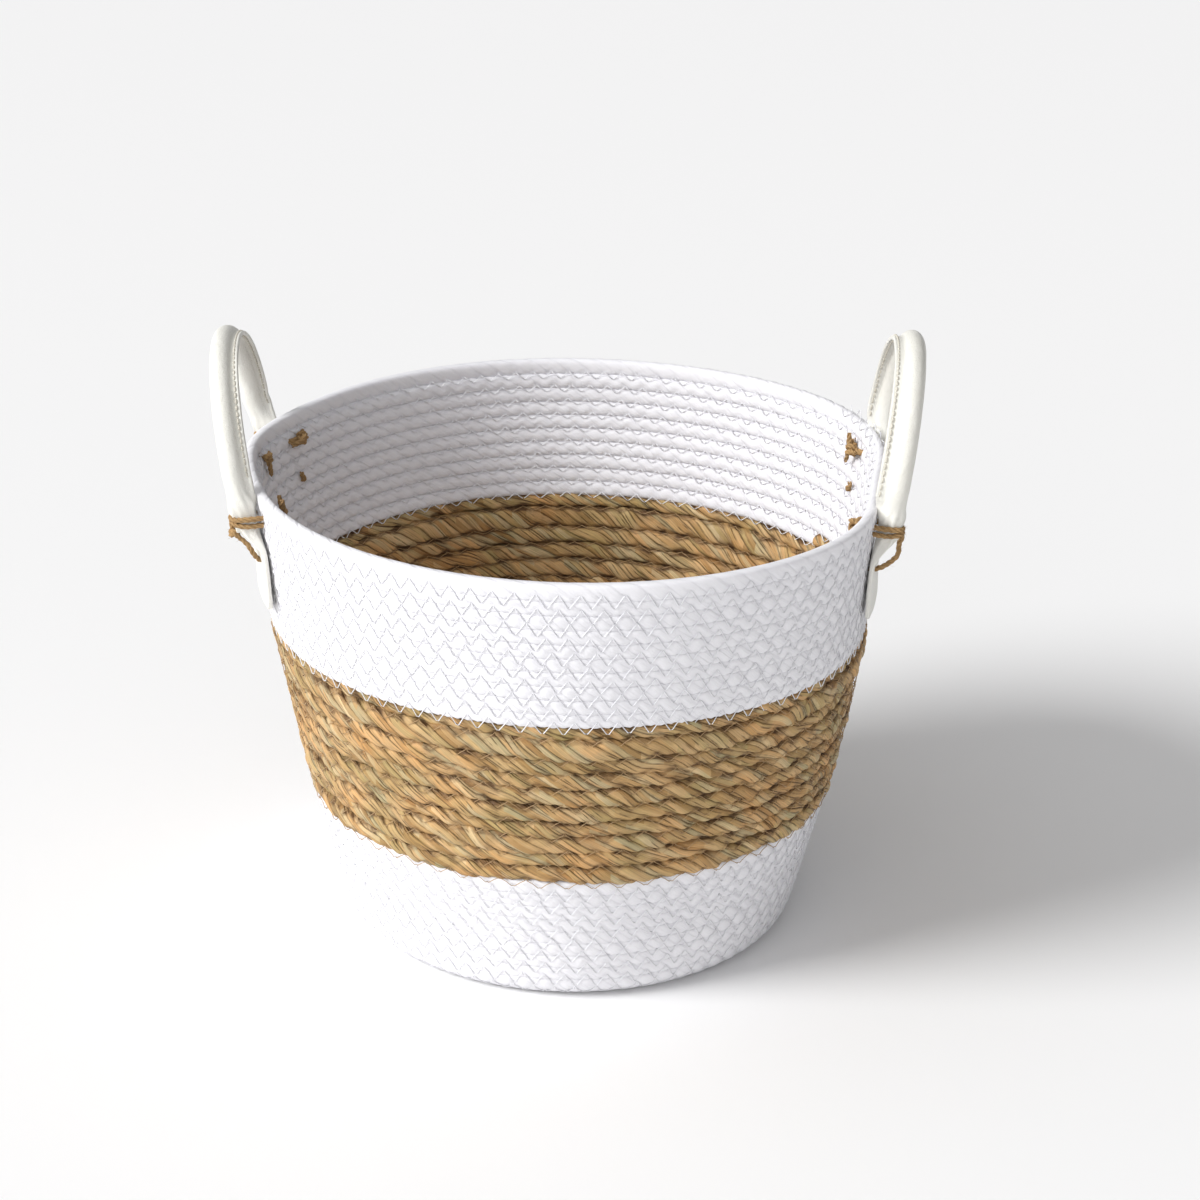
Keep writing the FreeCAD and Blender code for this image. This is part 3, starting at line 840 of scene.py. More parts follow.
@dataclass
class WallShape:
    """Middle surface of the wall and the base, as a curve from the base's centre to the rim."""

    thickness: float = 0.007
    turned_row_width: float = 0.018
    corner_radius: float = 0.013
    blend_height: float = 0.012
    floor_gap: float = 0.0005
    joint_azimuth: float = math.radians(30.5)
    lower_seam_fullness: float = 0.0009
    upper_seam_fullness: float = 0.0006
    swell: float = 0.0006
    forward: float = 0.0023
    bulges: tuple[tuple[float, float, float], ...] = ((-8.0, 20.0, -0.0096), (36.0, 28.0, 0.0052),
                                                      (172.0, 14.0, 0.0042))
    sway: float = 0.0009

    def __post_init__(self) -> None:
        """Read the sizes from the frame and sample the curve."""
        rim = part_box("rim_row")
        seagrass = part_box("seagrass_band")
        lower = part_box("lower_band")
        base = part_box("base_mat")
        self.rim_z = rim[1].z
        self.rim_radius = rim[1].x
        self.upper_seam_z = seagrass[1].z
        self.lower_seam_z = lower[1].z
        self.base_radius = base[1].x + self.turned_row_width
        self.seam_heights = np.array([0.0, self.lower_seam_z, self.upper_seam_z, self.rim_z])
        self.seam_radii = np.array([
            self.base_radius,
            lower[1].x + self.lower_seam_fullness,
            seagrass[1].x + self.upper_seam_fullness,
            self.rim_radius,
        ])
        self.build_curve()
        rng = np.random.default_rng(SEED)
        self.waves = [(n, rng.uniform(0.3, 1.0) / n, rng.uniform(0, TURN)) for n in (2, 3, 5, 7)]

    def outer_radius(self, z: np.ndarray) -> np.ndarray:
        """Outer radius of the wall at a height, with the bends at the seams eased.

        Args:
            z: heights.

        Returns:
            The radii.
        """
        z = np.asarray(z, float)
        shifts = np.linspace(-1.0, 1.0, 9) * self.blend_height
        heights = np.clip(z[..., None] + shifts, 0.0, self.rim_z)
        return np.interp(heights, self.seam_heights, self.seam_radii).mean(-1)

    def build_curve(self) -> None:
        """Sample the curve of the middle surface and its outward normal by arc length."""
        base_samples, corner_samples, wall_samples, even_samples = 200, 60, 900, 3000
        smoothing = 25
        half = self.thickness / 2
        slope = math.atan2(self.seam_radii[1] - self.seam_radii[0], self.lower_seam_z)
        tangent = self.corner_radius / math.tan((math.pi / 2 + slope) / 2)
        centre_r = self.base_radius - tangent
        radius = self.corner_radius - half
        flat_r = np.linspace(0.0, centre_r, base_samples)
        angles = np.linspace(-math.pi / 2, -slope, corner_samples)
        corner_top = self.corner_radius - radius * math.sin(slope)
        wall_z = np.linspace(corner_top, self.rim_z + half, wall_samples)[1:]
        r = np.concatenate([flat_r, centre_r + radius * np.cos(angles)[1:],
                            self.outer_radius(wall_z) - half])
        z = np.concatenate([np.full(base_samples, half + self.floor_gap),
                            self.corner_radius + radius * np.sin(angles)[1:], wall_z])
        step = np.hypot(np.diff(r), np.diff(z))
        q = np.concatenate([[0.0], np.cumsum(step)])
        self.q_grid = np.linspace(0.0, float(q[-1]), even_samples)
        window = np.ones(smoothing) / smoothing
        self.r_grid, self.z_grid = (
            np.convolve(np.pad(np.interp(self.q_grid, q, line), smoothing // 2, mode="reflect",
                               reflect_type="odd"), window, "valid")
            for line in (r, z)
        )
        along = unit(np.stack([np.gradient(self.r_grid), np.gradient(self.z_grid)], -1))
        self.normal_r = along[:, 1]
        self.normal_z = -along[:, 0]
        inner = even_samples // 2
        self.q_corner = float(np.interp(centre_r, self.r_grid[:inner], self.q_grid[:inner]))

    def q_at_height(self, z: float) -> float:
        """Place on the curve of a height on the wall."""
        wall = self.q_grid > self.q_corner
        return float(np.interp(z, self.z_grid[wall], self.q_grid[wall]))

    def squeeze(self, azimuth: np.ndarray, z: np.ndarray) -> np.ndarray:
        """How far the soft wall stands inside its round shape.

        Args:
            azimuth: direction from the basket's axis.
            z: height.

        Returns:
            Change of the radius in metres.
        """
        rise = smooth((z - self.lower_seam_z) / (self.rim_z - self.lower_seam_z))
        change = self.swell - self.forward * np.sin(azimuth)
        for centre, width, depth in self.bulges:
            turn = (azimuth - math.radians(centre) + math.pi) % TURN - math.pi
            change = change + depth * np.exp(-(turn / math.radians(width)) ** 2)
        waves = sum(size * np.sin(n * azimuth + phase + 9.0 * z) for n, size, phase in self.waves)
        return change * rise ** 1.5 + self.sway * waves * smooth(z / self.lower_seam_z)

    def place(self, q: np.ndarray, azimuth: np.ndarray, out: np.ndarray) -> np.ndarray:
        """Points on or beside the wall.

        Args:
            q: places along the curve.
            azimuth: directions from the axis.
            out: distances outwards from the middle surface.

        Returns:
            The points.
        """
        r = np.interp(q, self.q_grid, self.r_grid) + out * np.interp(q, self.q_grid, self.normal_r)
        z = np.interp(q, self.q_grid, self.z_grid) + out * np.interp(q, self.q_grid, self.normal_z)
        r = r + self.squeeze(azimuth, z)
        return np.stack([r * np.cos(azimuth), r * np.sin(azimuth), z], -1)

    def surface(self, azimuth: float, z: float, out: float = 0.0) -> Vector:
        """Point on the wall's outer crest line at a height, moved outwards by a distance."""
        r = float(self.outer_radius(z)) + out + float(self.squeeze(np.array(azimuth), np.array(z)))
        return Vector((r * math.cos(azimuth), r * math.sin(azimuth), z))


@dataclass
class Coil:
    """The rows of cord, as one spiral from the middle of the base to the rim."""

    wall: WallShape
    base_pitch: float = 0.0072
    white_pitch: float = 0.0070
    upper_rows: int = 10
    seagrass_shares: tuple[float, ...] = (1.04, 0.98, 1.08, 0.94, 1.02, 1.06, 0.92, 1.0, 1.24, 0.78)
    climb: float = 0.13
    first_turn: float = 0.5
    end_thinning: float = 0.97
    rim_reach: float = 1.4
    samples_per_turn: int = 240

    def __post_init__(self) -> None:
        """Divide the wall into rows."""
        wall = self.wall
        q_low = wall.q_at_height(wall.lower_seam_z)
        q_up = wall.q_at_height(wall.upper_seam_z)
        base_rows = round(wall.q_corner / self.base_pitch)
        lower_rows = round((q_low - wall.q_corner) / self.white_pitch)
        edges = [np.linspace(0.0, wall.q_corner, base_rows + 1),
                 np.linspace(wall.q_corner, q_low, lower_rows + 1)[1:]]
        shares = np.cumsum(self.seagrass_shares)
        edges.append(q_low + (q_up - q_low) * shares / shares[-1])
        top = wall.q_at_height(wall.rim_z)
        edges.append(np.linspace(q_up, top, self.upper_rows + 1)[1:])
        edge = np.concatenate(edges)
        self.centre = (edge[:-1] + edge[1:]) / 2
        self.half = np.diff(edge) / 2
        self.rows = len(self.centre)
        self.seagrass_start = base_rows + lower_rows
        self.upper_start = self.seagrass_start + len(self.seagrass_shares)
        self.wall_start = base_rows
        self.climbs = np.where(np.arange(self.rows) < base_rows, 1.0, self.climb)
        self.build_lengths()

    def row_state(self, turn: np.ndarray) -> tuple[np.ndarray, np.ndarray, np.ndarray]:
        """Where the cord is after a number of turns.

        Args:
            turn: turns since the start of the cord.

        Returns:
            Its place on the wall's curve, half its height and its azimuth.
        """
        row = np.clip(np.floor(turn).astype(int), 0, self.rows - 1)
        part = turn - row
        climb = self.climbs[row]
        linear = np.clip((part - (1.0 - climb)) / climb, 0.0, 1.0)
        rise = np.where(climb > 0.99, linear, smooth(linear))
        following = np.minimum(row + 1, self.rows - 1)
        last = row == self.rows - 1
        q = self.centre[row] + (self.centre[following] - self.centre[row]) * rise
        half = self.half[row] + (self.half[following] - self.half[row]) * rise
        q = np.where(last, q + self.half[row] * rise, q)
        half = np.where(last, half * (1.0 - self.end_thinning * rise), half)
        return q, half, self.wall.joint_azimuth + TURN * turn

    def build_lengths(self) -> None:
        """Length of the cord and of the seam above it, by turns."""
        self.turn_grid = np.linspace(0.0, self.rows, self.rows * self.samples_per_turn + 1)
        q, half, azimuth = self.row_state(self.turn_grid)
        path = self.wall.place(q, azimuth, np.zeros_like(q))
        self.cord_length = lengths_along(path)
        seam = self.wall.place(q + half, azimuth, np.zeros_like(q))
        self.seam_length = lengths_along(seam)

    def near_rim(self, turn: np.ndarray) -> np.ndarray:
        """How far the cord has come into the last row, from 0 to 1."""
        return smooth(turn - (self.rows - self.rim_reach))

    def turns_at_seam(self, length: np.ndarray) -> np.ndarray:
        """Turns after which the seam has a length."""
        return np.interp(length, self.seam_length, self.turn_grid)

    def seam_at(self, turn: np.ndarray) -> np.ndarray:
        """Length of the seam after a number of turns."""
        return np.interp(turn, self.turn_grid, self.seam_length)

    def cord_at(self, turn: np.ndarray) -> np.ndarray:
        """Length of the cord after a number of turns."""
        return np.interp(turn, self.turn_grid, self.cord_length)


@dataclass(frozen=True)
class CordKind:
    """How one kind of cord is shaped."""

    strands: int
    lead: float
    strand_depth: float
    half_thickness: float
    squareness: float
    overlap: float
    uneven: float
    lumps: float
    stitch_depth: float
    thickness_drift: float = 0.0
    twist_drift: float = 0.1
    inner_relief: float = 0.6
    inner_squareness: float = 3.2
    rim_thinning: float = 0.28
    step: float = 0.0015
    face_points: int = 10


PAPER = CordKind(strands=3, lead=0.034, strand_depth=0.00028, half_thickness=0.0035, squareness=4.8,
                 overlap=1.22, uneven=0.00012, lumps=0.00012, stitch_depth=0.00062)
SEAGRASS = CordKind(strands=4, lead=0.042, strand_depth=0.0007, half_thickness=0.0042, squareness=3.2,
                    overlap=1.16, uneven=0.0009, lumps=0.0011, stitch_depth=0.0006,
                    thickness_drift=0.06, twist_drift=0.55, inner_relief=1.0, face_points=11)


@dataclass(frozen=True)
class StitchKind:
    """How a row of zigzag stitches is laid."""

    period: float
    up: float
    down: float
    radius: float = 0.00025
    inner_share: float = 0.5


@dataclass
class CordLength:
    """One length of cord, from one turn of the coil to another."""

    name: str
    coil: Coil
    kind: CordKind
    start: float
    stop: float
    stitch: StitchKind
    section_angle: float = math.radians(74.0)
    thinnest: float = 0.45
    rim_smoothing: float = 0.6
    lump_spacing: float = 0.014
    lump_kinds: int = 613
    lump_knots: int = 64
    mark_width: float = 0.0010

    def section(self) -> np.ndarray:
        """Section of the cord: out and up, in shares of its half thickness and half height.

        Returns:
            Place in the ring by coordinate.
        """
        kind = self.kind
        up = np.sin(np.linspace(-1.0, 1.0, kind.face_points) * self.section_angle)
        outside, inside = (
            np.stack([face.value * (1.0 - np.abs(up) ** power) ** (1.0 / power), up], -1)
            for face, power in ((Face.OUTSIDE, kind.squareness), (Face.INSIDE, kind.inner_squareness))
        )
        return np.concatenate([[[0.0, -1.0]], outside, [[0.0, 1.0]], inside[::-1]])

    def stitch_marks(self, turn: np.ndarray, height: np.ndarray, half: np.ndarray,
                     out_share: np.ndarray) -> np.ndarray:
        """How deeply the stitches above and below a row press into it.

        Args:
            turn: turns of the coil, for each ring.
            height: height above the cord's middle, ring by place.
            half: half the cord's height, for each ring.
            out_share: how far out each place of the ring is.

        Returns:
            A share between 0 and 1, ring by place.
        """
        stitch = self.stitch
        reach = (stitch.up + stitch.down) / 2
        slope = 4.0 * reach / stitch.period
        marks = np.zeros_like(height)
        for seam_turn, seam_height in ((turn, half), (turn - 1.0, -half)):
            phase = self.coil.seam_at(np.maximum(seam_turn, 0.0)) / stitch.period
            swing = (stitch.up - stitch.down) / 2 + reach * triangle(phase)
            share = np.where(out_share > 0.0, 1.0, stitch.inner_share)
            gap = (height - seam_height[:, None] - swing[:, None] * share) / math.hypot(1.0, slope)
            marks = np.maximum(marks, np.exp(-(gap / self.mark_width) ** 2))
        return marks

    def build(self) -> bpy.types.Object:
        """Model the length of cord with its strands, lumps and stitch marks, and the share of painted
        shade in its grooves.

        The cord follows a squeezed spiral, its strands turn and every stitch dents it, which no
        modifier does, so its points are worked out ring by ring.

        Returns:
            The piece.
        """
        coil, kind = self.coil, self.kind
        rng = np.random.default_rng(SEED + int(self.start * 10))
        length = coil.cord_at(np.array([self.start, self.stop]))
        count = max(8, int((length[1] - length[0]) / kind.step))
        along = np.linspace(length[0], length[1], count)
        turn = np.interp(along, coil.cord_length, coil.turn_grid)
        turn[-1] = min(turn[-1], self.stop - 1e-6)
        q, half, azimuth = coil.row_state(turn)
        section = self.section()
        out_share, up_share = section[:, 0], section[:, 1]
        fat = kind.half_thickness * (1.0 + kind.thickness_drift * wander(along, 0.02, rng))
        fat = fat * np.minimum(1.0, self.thinnest + (1.0 - self.thinnest) * half / half.max())
        up = half[:, None] * kind.overlap * up_share[None]
        out = fat[:, None] * out_share[None]
        loop = section * [kind.half_thickness, float(half.mean())]
        edges = np.linalg.norm(np.roll(loop, -1, 0) - loop, axis=1)
        share = np.concatenate([[0.0], np.cumsum(edges)[:-1]]) / edges.sum()
        phase = kind.strands * share[None] + kind.strands * along[:, None] / kind.lead
        phase = phase + (kind.twist_drift * wander(along, 0.02, rng))[:, None]
        crown = np.sin(math.pi * (phase - np.floor(phase))) ** 0.5
        relief = kind.strand_depth * (crown - 1.0)
        strand_id = np.floor(phase).astype(int) % self.lump_kinds
        table = rng.uniform(-1.0, 1.0, (self.lump_kinds, self.lump_knots))
        cell = along[:, None] / self.lump_spacing
        low = np.floor(cell).astype(int)
        blend = smooth(cell - low)
        before = table[strand_id, low % self.lump_knots]
        after = table[strand_id, (low + 1) % self.lump_knots]
        lump = before * (1.0 - blend) + after * blend
        relief = relief + kind.lumps * lump * crown
        marks = self.stitch_marks(turn, up, half, out_share) * (np.abs(out_share) > 0.3)[None]
        rim_share = coil.near_rim(turn)[:, None]
        marks = marks * (1.0 - rim_share * (up > 0.0))
        relief = relief * (1.0 - self.rim_smoothing * rim_share)
        relief = relief * np.where(out_share > 0.0, 1.0, kind.inner_relief)[None]
        thinning = kind.rim_thinning * rim_share
        out = out * (1.0 - thinning) + kind.rim_thinning * kind.half_thickness * rim_share
        relief = relief - kind.stitch_depth * marks
        # Painted shade: this share is highest between rows, in stitch dents and in strand grooves, and is
        # stored on the mesh for the cord finishes to darken by.
        between_rows = smooth((np.abs(up) / half[:, None] - 0.84) / 0.16)
        deep = 0.8 * between_rows + 0.4 * marks - 0.45 * relief / kind.strand_depth - 0.25
        cavity = np.clip(deep, 0.0, 1.0)
        size = np.hypot(out, up)
        scale = 1.0 + relief / np.maximum(size, 1e-5)
        out = out * scale + (kind.uneven * wander(along, 0.035, rng))[:, None]
        up = up * np.where(np.abs(up_share)[None] > 0.99, 1.0, scale)
        drop = (kind.uneven * 0.8 * wander(along, 0.05, rng))[:, None]
        directions = np.repeat(azimuth[:, None], len(section), 1)
        rings = coil.wall.place(q[:, None] + up + drop, directions, out)
        store = MeshStore()
        store.add_tube(rings, along, phase, float(kind.strands), cavity)
        return store.make(self.name)


@dataclass
class ZigzagStitching:
    """One thread of zigzag stitches over the seams of the coil, on one face of the wall."""

    name: str
    coil: Coil
    stitch: StitchKind
    face: Face
    start: float
    stop: float
    half_thickness: float
    parts: tuple[float, ...] = (0.0, 0.13, 0.5, 0.87)
    part_depths: tuple[float, ...] = (-0.0011, 0.00012, 0.0, 0.00012)
    sag: float = 0.00035
    ply_length: float = 0.0012
    sides: int = 4

    def build(self) -> bpy.types.Object:
        """Model the thread.

        Each stitch crosses a seam of the spiral and dives into the cord at its ends, so the thread
        is laid point by point.

        Returns:
            The piece.
        """
        coil, stitch = self.coil, self.stitch
        rng = np.random.default_rng(SEED + int(self.start * 10) + self.face.value)
        length = coil.seam_at(np.array([self.start, self.stop]))
        first = math.ceil(length[0] / stitch.period * 2)
        last = math.floor(length[1] / stitch.period * 2)
        halves = np.arange(first, last)
        parts = np.array(self.parts)
        phase = (halves[:, None] + parts[None]) / 2
        jitter = rng.normal(0.0, 0.03, len(halves) + 1)
        jitter_at = jitter[:-1, None] * (1 - parts)[None] + jitter[1:, None] * parts[None]
        reach = rng.normal(1.0, 0.06, len(halves) + 1)
        reach_at = reach[:-1, None] * (1 - parts)[None] + reach[1:, None] * parts[None]
        turn = coil.turns_at_seam(((phase + jitter_at * 0.5) * stitch.period).ravel())
        q, half, azimuth = coil.row_state(turn)
        middle = (stitch.up - stitch.down) / 2
        swing = (stitch.up + stitch.down) / 2
        height = middle + swing * triangle(phase.ravel()) * reach_at.ravel()
        if self.face is Face.INSIDE:
            height = height * stitch.inner_share
        dip = np.tile(self.part_depths, len(halves))
        valley = 1.0 - np.clip(np.abs(height) / max(stitch.up, stitch.down), 0.0, 1.0) ** 2
        out = self.half_thickness - self.sag * valley + dip + stitch.radius * 0.3
        if self.face is Face.INSIDE:
            thin = coil.near_rim(turn + smooth(height / 0.002))
            out = out - 2.0 * PAPER.rim_thinning * PAPER.half_thickness * thin
        path = coil.wall.place(q + half + height, azimuth, out * self.face.value)
        beyond = 0.01
        up = coil.wall.place(q + half + height, azimuth, (out + beyond) * self.face.value) - path
        rings = round_tube(path, up, np.full(len(path), stitch.radius), self.sides)
        along = lengths_along(path)
        share = np.arange(self.sides) / self.sides
        store = MeshStore()
        store.add_tube(rings, along, 2.0 * share[None] + along[:, None] / self.ply_length, 2.0)
        return store.make(self.name)


# ---------------------------------------------------------------- handles


def resample(points: np.ndarray, count: int, closed: bool = False) -> np.ndarray:
    """Points spaced evenly along a line.

    Args:
        points: corners of the line.
        count: number of new points.
        closed: whether the line returns to its start, which is then not repeated.

    Returns:
        The new points.
    """
    if closed:
        points = np.concatenate([points, points[:1]])
    along = lengths_along(points)
    at = np.linspace(0.0, along[-1], count + 1)[:-1] if closed else np.linspace(0.0, along[-1], count)
    return values_at(at, along, points)


def spline(points: list, step: float) -> np.ndarray:
    """Smooth curve through points.

    Args:
        points: what it goes through.
        step: distance between the points of the result.

    Returns:
        Evenly spaced points of the curve.
    """
    knots = np.array([tuple(p) for p in points], float)
    knots = np.concatenate([2 * knots[:1] - knots[1:2], knots, 2 * knots[-1:] - knots[-2:-1]])
    parts = []
    share = np.linspace(0.0, 1.0, 16, endpoint=False)[:, None]
    for a, b, c, d in zip(knots, knots[1:], knots[2:], knots[3:]):
        parts.append(0.5 * (2 * b + (c - a) * share + (2 * a - 5 * b + 4 * c - d) * share ** 2
                            + (3 * b - a - 3 * c + d) * share ** 3))
    curve = np.concatenate(parts + [knots[-2:-1]])
    length = float(np.linalg.norm(np.diff(curve, axis=0), axis=1).sum())
    return resample(curve, max(4, int(length / step)))


def carried_frames(path: np.ndarray, first: np.ndarray) -> tuple[np.ndarray, np.ndarray]:
    """Two directions square to a path that turn as little as they can.

    Args:
        path: points of the path.
        first: direction at its start.

    Returns:
        The two directions for each point.
    """
    along = unit(np.gradient(path, axis=0))
    normals = np.zeros_like(path)
    normal = np.asarray(first, float)
    for n, direction in enumerate(along):
        normal = unit(normal - direction * float(normal @ direction))
        normals[n] = normal
    return normals, np.cross(along, normals)


@dataclass
class LegSite:
    """Where one leg of a handle is tied to the wall."""

    side: Side
    end: End
    wall: WallShape
    azimuth_share: float = math.radians(20.5)
    stitch_radius: float = 0.00115

    def __post_init__(self) -> None:
        """Read where the twine sits from the frame."""
        self.name = f"{self.side.name.lower()}_{self.end.name.lower()}"
        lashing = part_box(f"{self.name}_lashing")
        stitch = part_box(f"{self.name}_stitch")
        self.tie_z = (lashing[0].z + lashing[1].z) / 2
        self.stitch_z = stitch[0].z + self.stitch_radius
        turn = self.azimuth_share * self.end.value
        self.azimuth = turn if self.side is Side.RIGHT else math.pi - turn

    def at(self, out: float, across: float, z: float) -> np.ndarray:
        """Point beside the wall.

        Args:
            out: distance from the wall's outer crests.
            across: distance along the wall from the leg's middle, towards the handle's middle.
            z: height.

        Returns:
            The point.
        """
        shift = -across * self.end.value * self.side.value / self.wall.rim_radius
        return np.array(self.wall.surface(self.azimuth + shift, z, out))

    def inside(self, inward: float, across: float, z: float) -> np.ndarray:
        """Point beside the wall's inner face, like at()."""
        return self.at(-self.wall.thickness - inward, across, z)


@dataclass(frozen=True)
class StrapShape:
    """Sizes of the leather strap."""

    tube_radius: float = 0.0049
    flange_tip: float = 0.0087
    flange_half: float = 0.0011
    fillet: float = 0.0022
    seam_inset: float = 0.0017
    waist_depth: float = 0.0054
    waist_width: float = 0.0044
    stitch_pitch: float = 0.0030
    stitch_length: float = 0.0021
    stitch_radius: float = 0.00038
    stitch_sunk: float = 0.00035
    stitch_crown: float = 0.0006
    points: int = 60

    def teardrop(self) -> np.ndarray:
        """Section of the sewn loop: round tube with a flange on the basket's side.

        Returns:
            Place by coordinate.
        """
        f, h, r = self.fillet, self.flange_half, self.tube_radius
        centre = math.sqrt((r + f) ** 2 - (h + f) ** 2)
        meet = math.atan2(h + f, centre)
        turn = np.linspace(math.pi, meet, 40)
        tube = np.stack([r * np.cos(turn), r * np.sin(turn)], -1)
        back = np.linspace(meet + math.pi, 1.5 * math.pi, 14)[1:]
        dip = np.stack([centre + f * np.cos(back), h + f + f * np.sin(back)], -1)
        edge = np.array([  # rounded edge of one layer, down to the groove between the two
            [self.flange_tip - 0.0006, h],
            [self.flange_tip - 0.0001, h * 0.72],
            [self.flange_tip, h * 0.3],
            [self.flange_tip - 0.0003, 0.0],
        ])
        half = np.concatenate([tube, dip, edge])
        whole = np.concatenate([half, half[-2:0:-1] * [1.0, -1.0]])
        return resample(whole, self.points, closed=True)

    def waist(self) -> np.ndarray:
        """Section where the strap is gathered by the twine.

        Returns:
            Place by coordinate.
        """
        turn = np.linspace(math.pi, -math.pi, 240, endpoint=False)
        pleat = 1.0 + 0.05 * np.cos(7 * turn + 0.6) + 0.035 * np.cos(4 * turn + 2.0)
        depth = self.waist_depth * np.cos(turn) * pleat
        width = self.waist_width * np.sin(turn) * pleat
        return resample(np.stack([depth, width], -1), self.points, closed=True)


@dataclass(frozen=True)
class HandleFit:
    """How one handle stands, in metres and degrees."""

    shift: float
    radius: float
    rise: float
    lean: float
    yaw: float
    flange_tip: float


@dataclass
class Handle:
    """One leather strap, folded round a cord and sewn, with its stitching."""

    side: Side
    wall: WallShape
    legs: dict[End, LegSite]
    leather: bpy.types.Material
    thread: bpy.types.Material
    fit: HandleFit
    neck_out: float = 0.0066
    neck_drop: float = 0.0035
    arch_end: float = 0.06
    droop: float = 0.012
    crease_count: int = 7
    step: float = 0.0009

    def __post_init__(self) -> None:
        """Read the hinge from the frame and set the handle's directions."""
        self.name = f"{self.side.name.lower()}_handle"
        joint = next(j for j in frame["joints"] if j["name"] == f"{self.name}_tilt")
        self.pivot = np.array(joint["pos_m"], float)
        self.centre = self.pivot + [self.fit.shift * self.side.value, 0.0, 0.0]
        self.shape = StrapShape(flange_tip=self.fit.flange_tip)
        lean, yaw = math.radians(self.fit.lean), math.radians(self.fit.yaw)
        self.row = np.array([math.sin(yaw), math.cos(yaw), 0.0])
        self.up = np.array([self.side.value * math.sin(lean), 0.0, math.cos(lean)])
        inward = np.array([-self.side.value * math.cos(lean), 0.0, math.sin(lean)])
        self.inward = unit(inward - self.row * float(inward @ self.row))

    def arch_point(self, angle: float) -> np.ndarray:
        """Point of the arch, counted from the rear leg."""
        droop = 1.0 + self.droop * math.sin(2.0 * angle + 0.7 * self.side.value)
        return (self.centre + self.row * self.fit.radius * math.cos(angle) * droop
                + self.up * self.fit.rise * math.sin(angle))

    def route(self) -> np.ndarray:
        """Line through the middle of the strap, from the rear lashing to the front one.

        Returns:
            Evenly spaced points.
        """
        points = []
        for end in (End.REAR, End.FRONT):
            leg = self.legs[end]
            low = [leg.at(self.neck_out - 0.0004, 0.0, leg.tie_z - self.neck_drop),
                   leg.at(self.neck_out, 0.0, leg.tie_z)]
            points.append(low if end is End.REAR else low[::-1])
        angles = np.linspace(self.arch_end, math.pi - self.arch_end, 24)
        arch = [self.arch_point(angle) for angle in angles]
        return spline(points[0] + arch + points[1], self.step)

    def rings(self) -> tuple[np.ndarray, np.ndarray, np.ndarray, np.ndarray, np.ndarray]:
        """Line and directions of the strap.

        Returns:
            The strap's line, two directions square to it, how open it is from 0 to 1, and its
            height above the lashing.
        """
        path = self.route()
        rear, front = self.legs[End.REAR], self.legs[End.FRONT]
        height = path[:, 2] - rear.tie_z
        open_share = smooth((height - 0.0015) / 0.015)
        radial = np.zeros_like(path)
        for leg, chosen in ((rear, path[:, 1] > 0), (front, path[:, 1] <= 0)):
            radial[chosen] = [-math.cos(leg.azimuth), -math.sin(leg.azimuth), 0.0]
        inward = unit(radial * (1.0 - open_share[:, None]) + self.inward * open_share[:, None])
        across, _ = frames_along(path, inward)
        sideways = np.cross(unit(np.gradient(path, axis=0)), across)
        return path, across, sideways, open_share, height

    def build_strap(self) -> bpy.types.Object:
        """Model the strap, with its pleats at the lashings and soft creases.

        Its section changes from pleated to sewn along a free line, which no modifier does, so its
        points are worked out ring by ring.

        Returns:
            The piece.
        """
        shape = self.shape
        rng = np.random.default_rng(SEED + 40 + self.side.value)
        path, across, sideways, open_share, height = self.rings()
        teardrop = shape.teardrop()[None]
        waist = shape.waist()[None]
        loops = waist + (teardrop - waist) * open_share[:, None, None]
        swell = 1.0 + 0.14 * np.exp(-((height - 0.0065) / 0.0035) ** 2)
        loops = loops * swell[:, None, None]
        along = lengths_along(path)
        creases = np.zeros(len(path))
        for place in rng.uniform(0.2, 0.8, self.crease_count) * along[-1]:
            strength = rng.uniform(0.3, 1.0)
            width = rng.uniform(0.0009, 0.002)
            creases += strength * np.exp(-((along - place) / width) ** 2)
        turn = np.arctan2(loops[..., 1], loops[..., 0])
        inner_side = np.exp(-((turn - 1.9 * self.arch_sign()) / 0.7) ** 2)
        press = 1.0 - 0.045 * creases[:, None] * inner_side
        press = press * (1.0 + 0.012 * wander(along, 0.012, rng)[:, None])
        loops = loops * press[..., None]
        flange = smooth((loops[..., 0] - shape.tube_radius) / 0.002)
        wave = 0.00015 * wander(along, 0.014, rng) + 0.0003 * wander(along, 0.04, rng)
        seam_place = shape.flange_tip - shape.seam_inset
        seam = np.exp(-((loops[..., 0] - seam_place) / 0.0007) ** 2) * open_share[:, None]
        loops[..., 1] += flange * wave[:, None] * open_share[:, None]
        loops[..., 1] -= np.sign(loops[..., 1]) * 0.0003 * seam
        pleats = np.cos(9.0 * turn + 3.0 * wander(along, 0.02, rng)[:, None])
        pleat_depth = 0.00022 * np.exp(-((height - 0.004) / 0.008) ** 2)[:, None]
        loops = loops * (1.0 + pleats * pleat_depth / 0.005)[..., None]
        points = path[:, None] + across[:, None] * loops[..., :1] + sideways[:, None] * loops[..., 1:]
        share = np.arange(shape.points) / shape.points
        store = MeshStore()
        store.add_tube(points, along, np.repeat(share[None], len(path), 0), 1.0)
        return store.make(f"{self.name}_strap", "leather")

    def arch_sign(self) -> float:
        """Sign of the section's second direction towards the middle of the arch.

        Returns:
            -1 or 1.
        """
        path, _, sideways, _, _ = self.rings()
        middle = len(path) // 2
        return float(np.sign(sideways[middle] @ (self.centre - path[middle])))

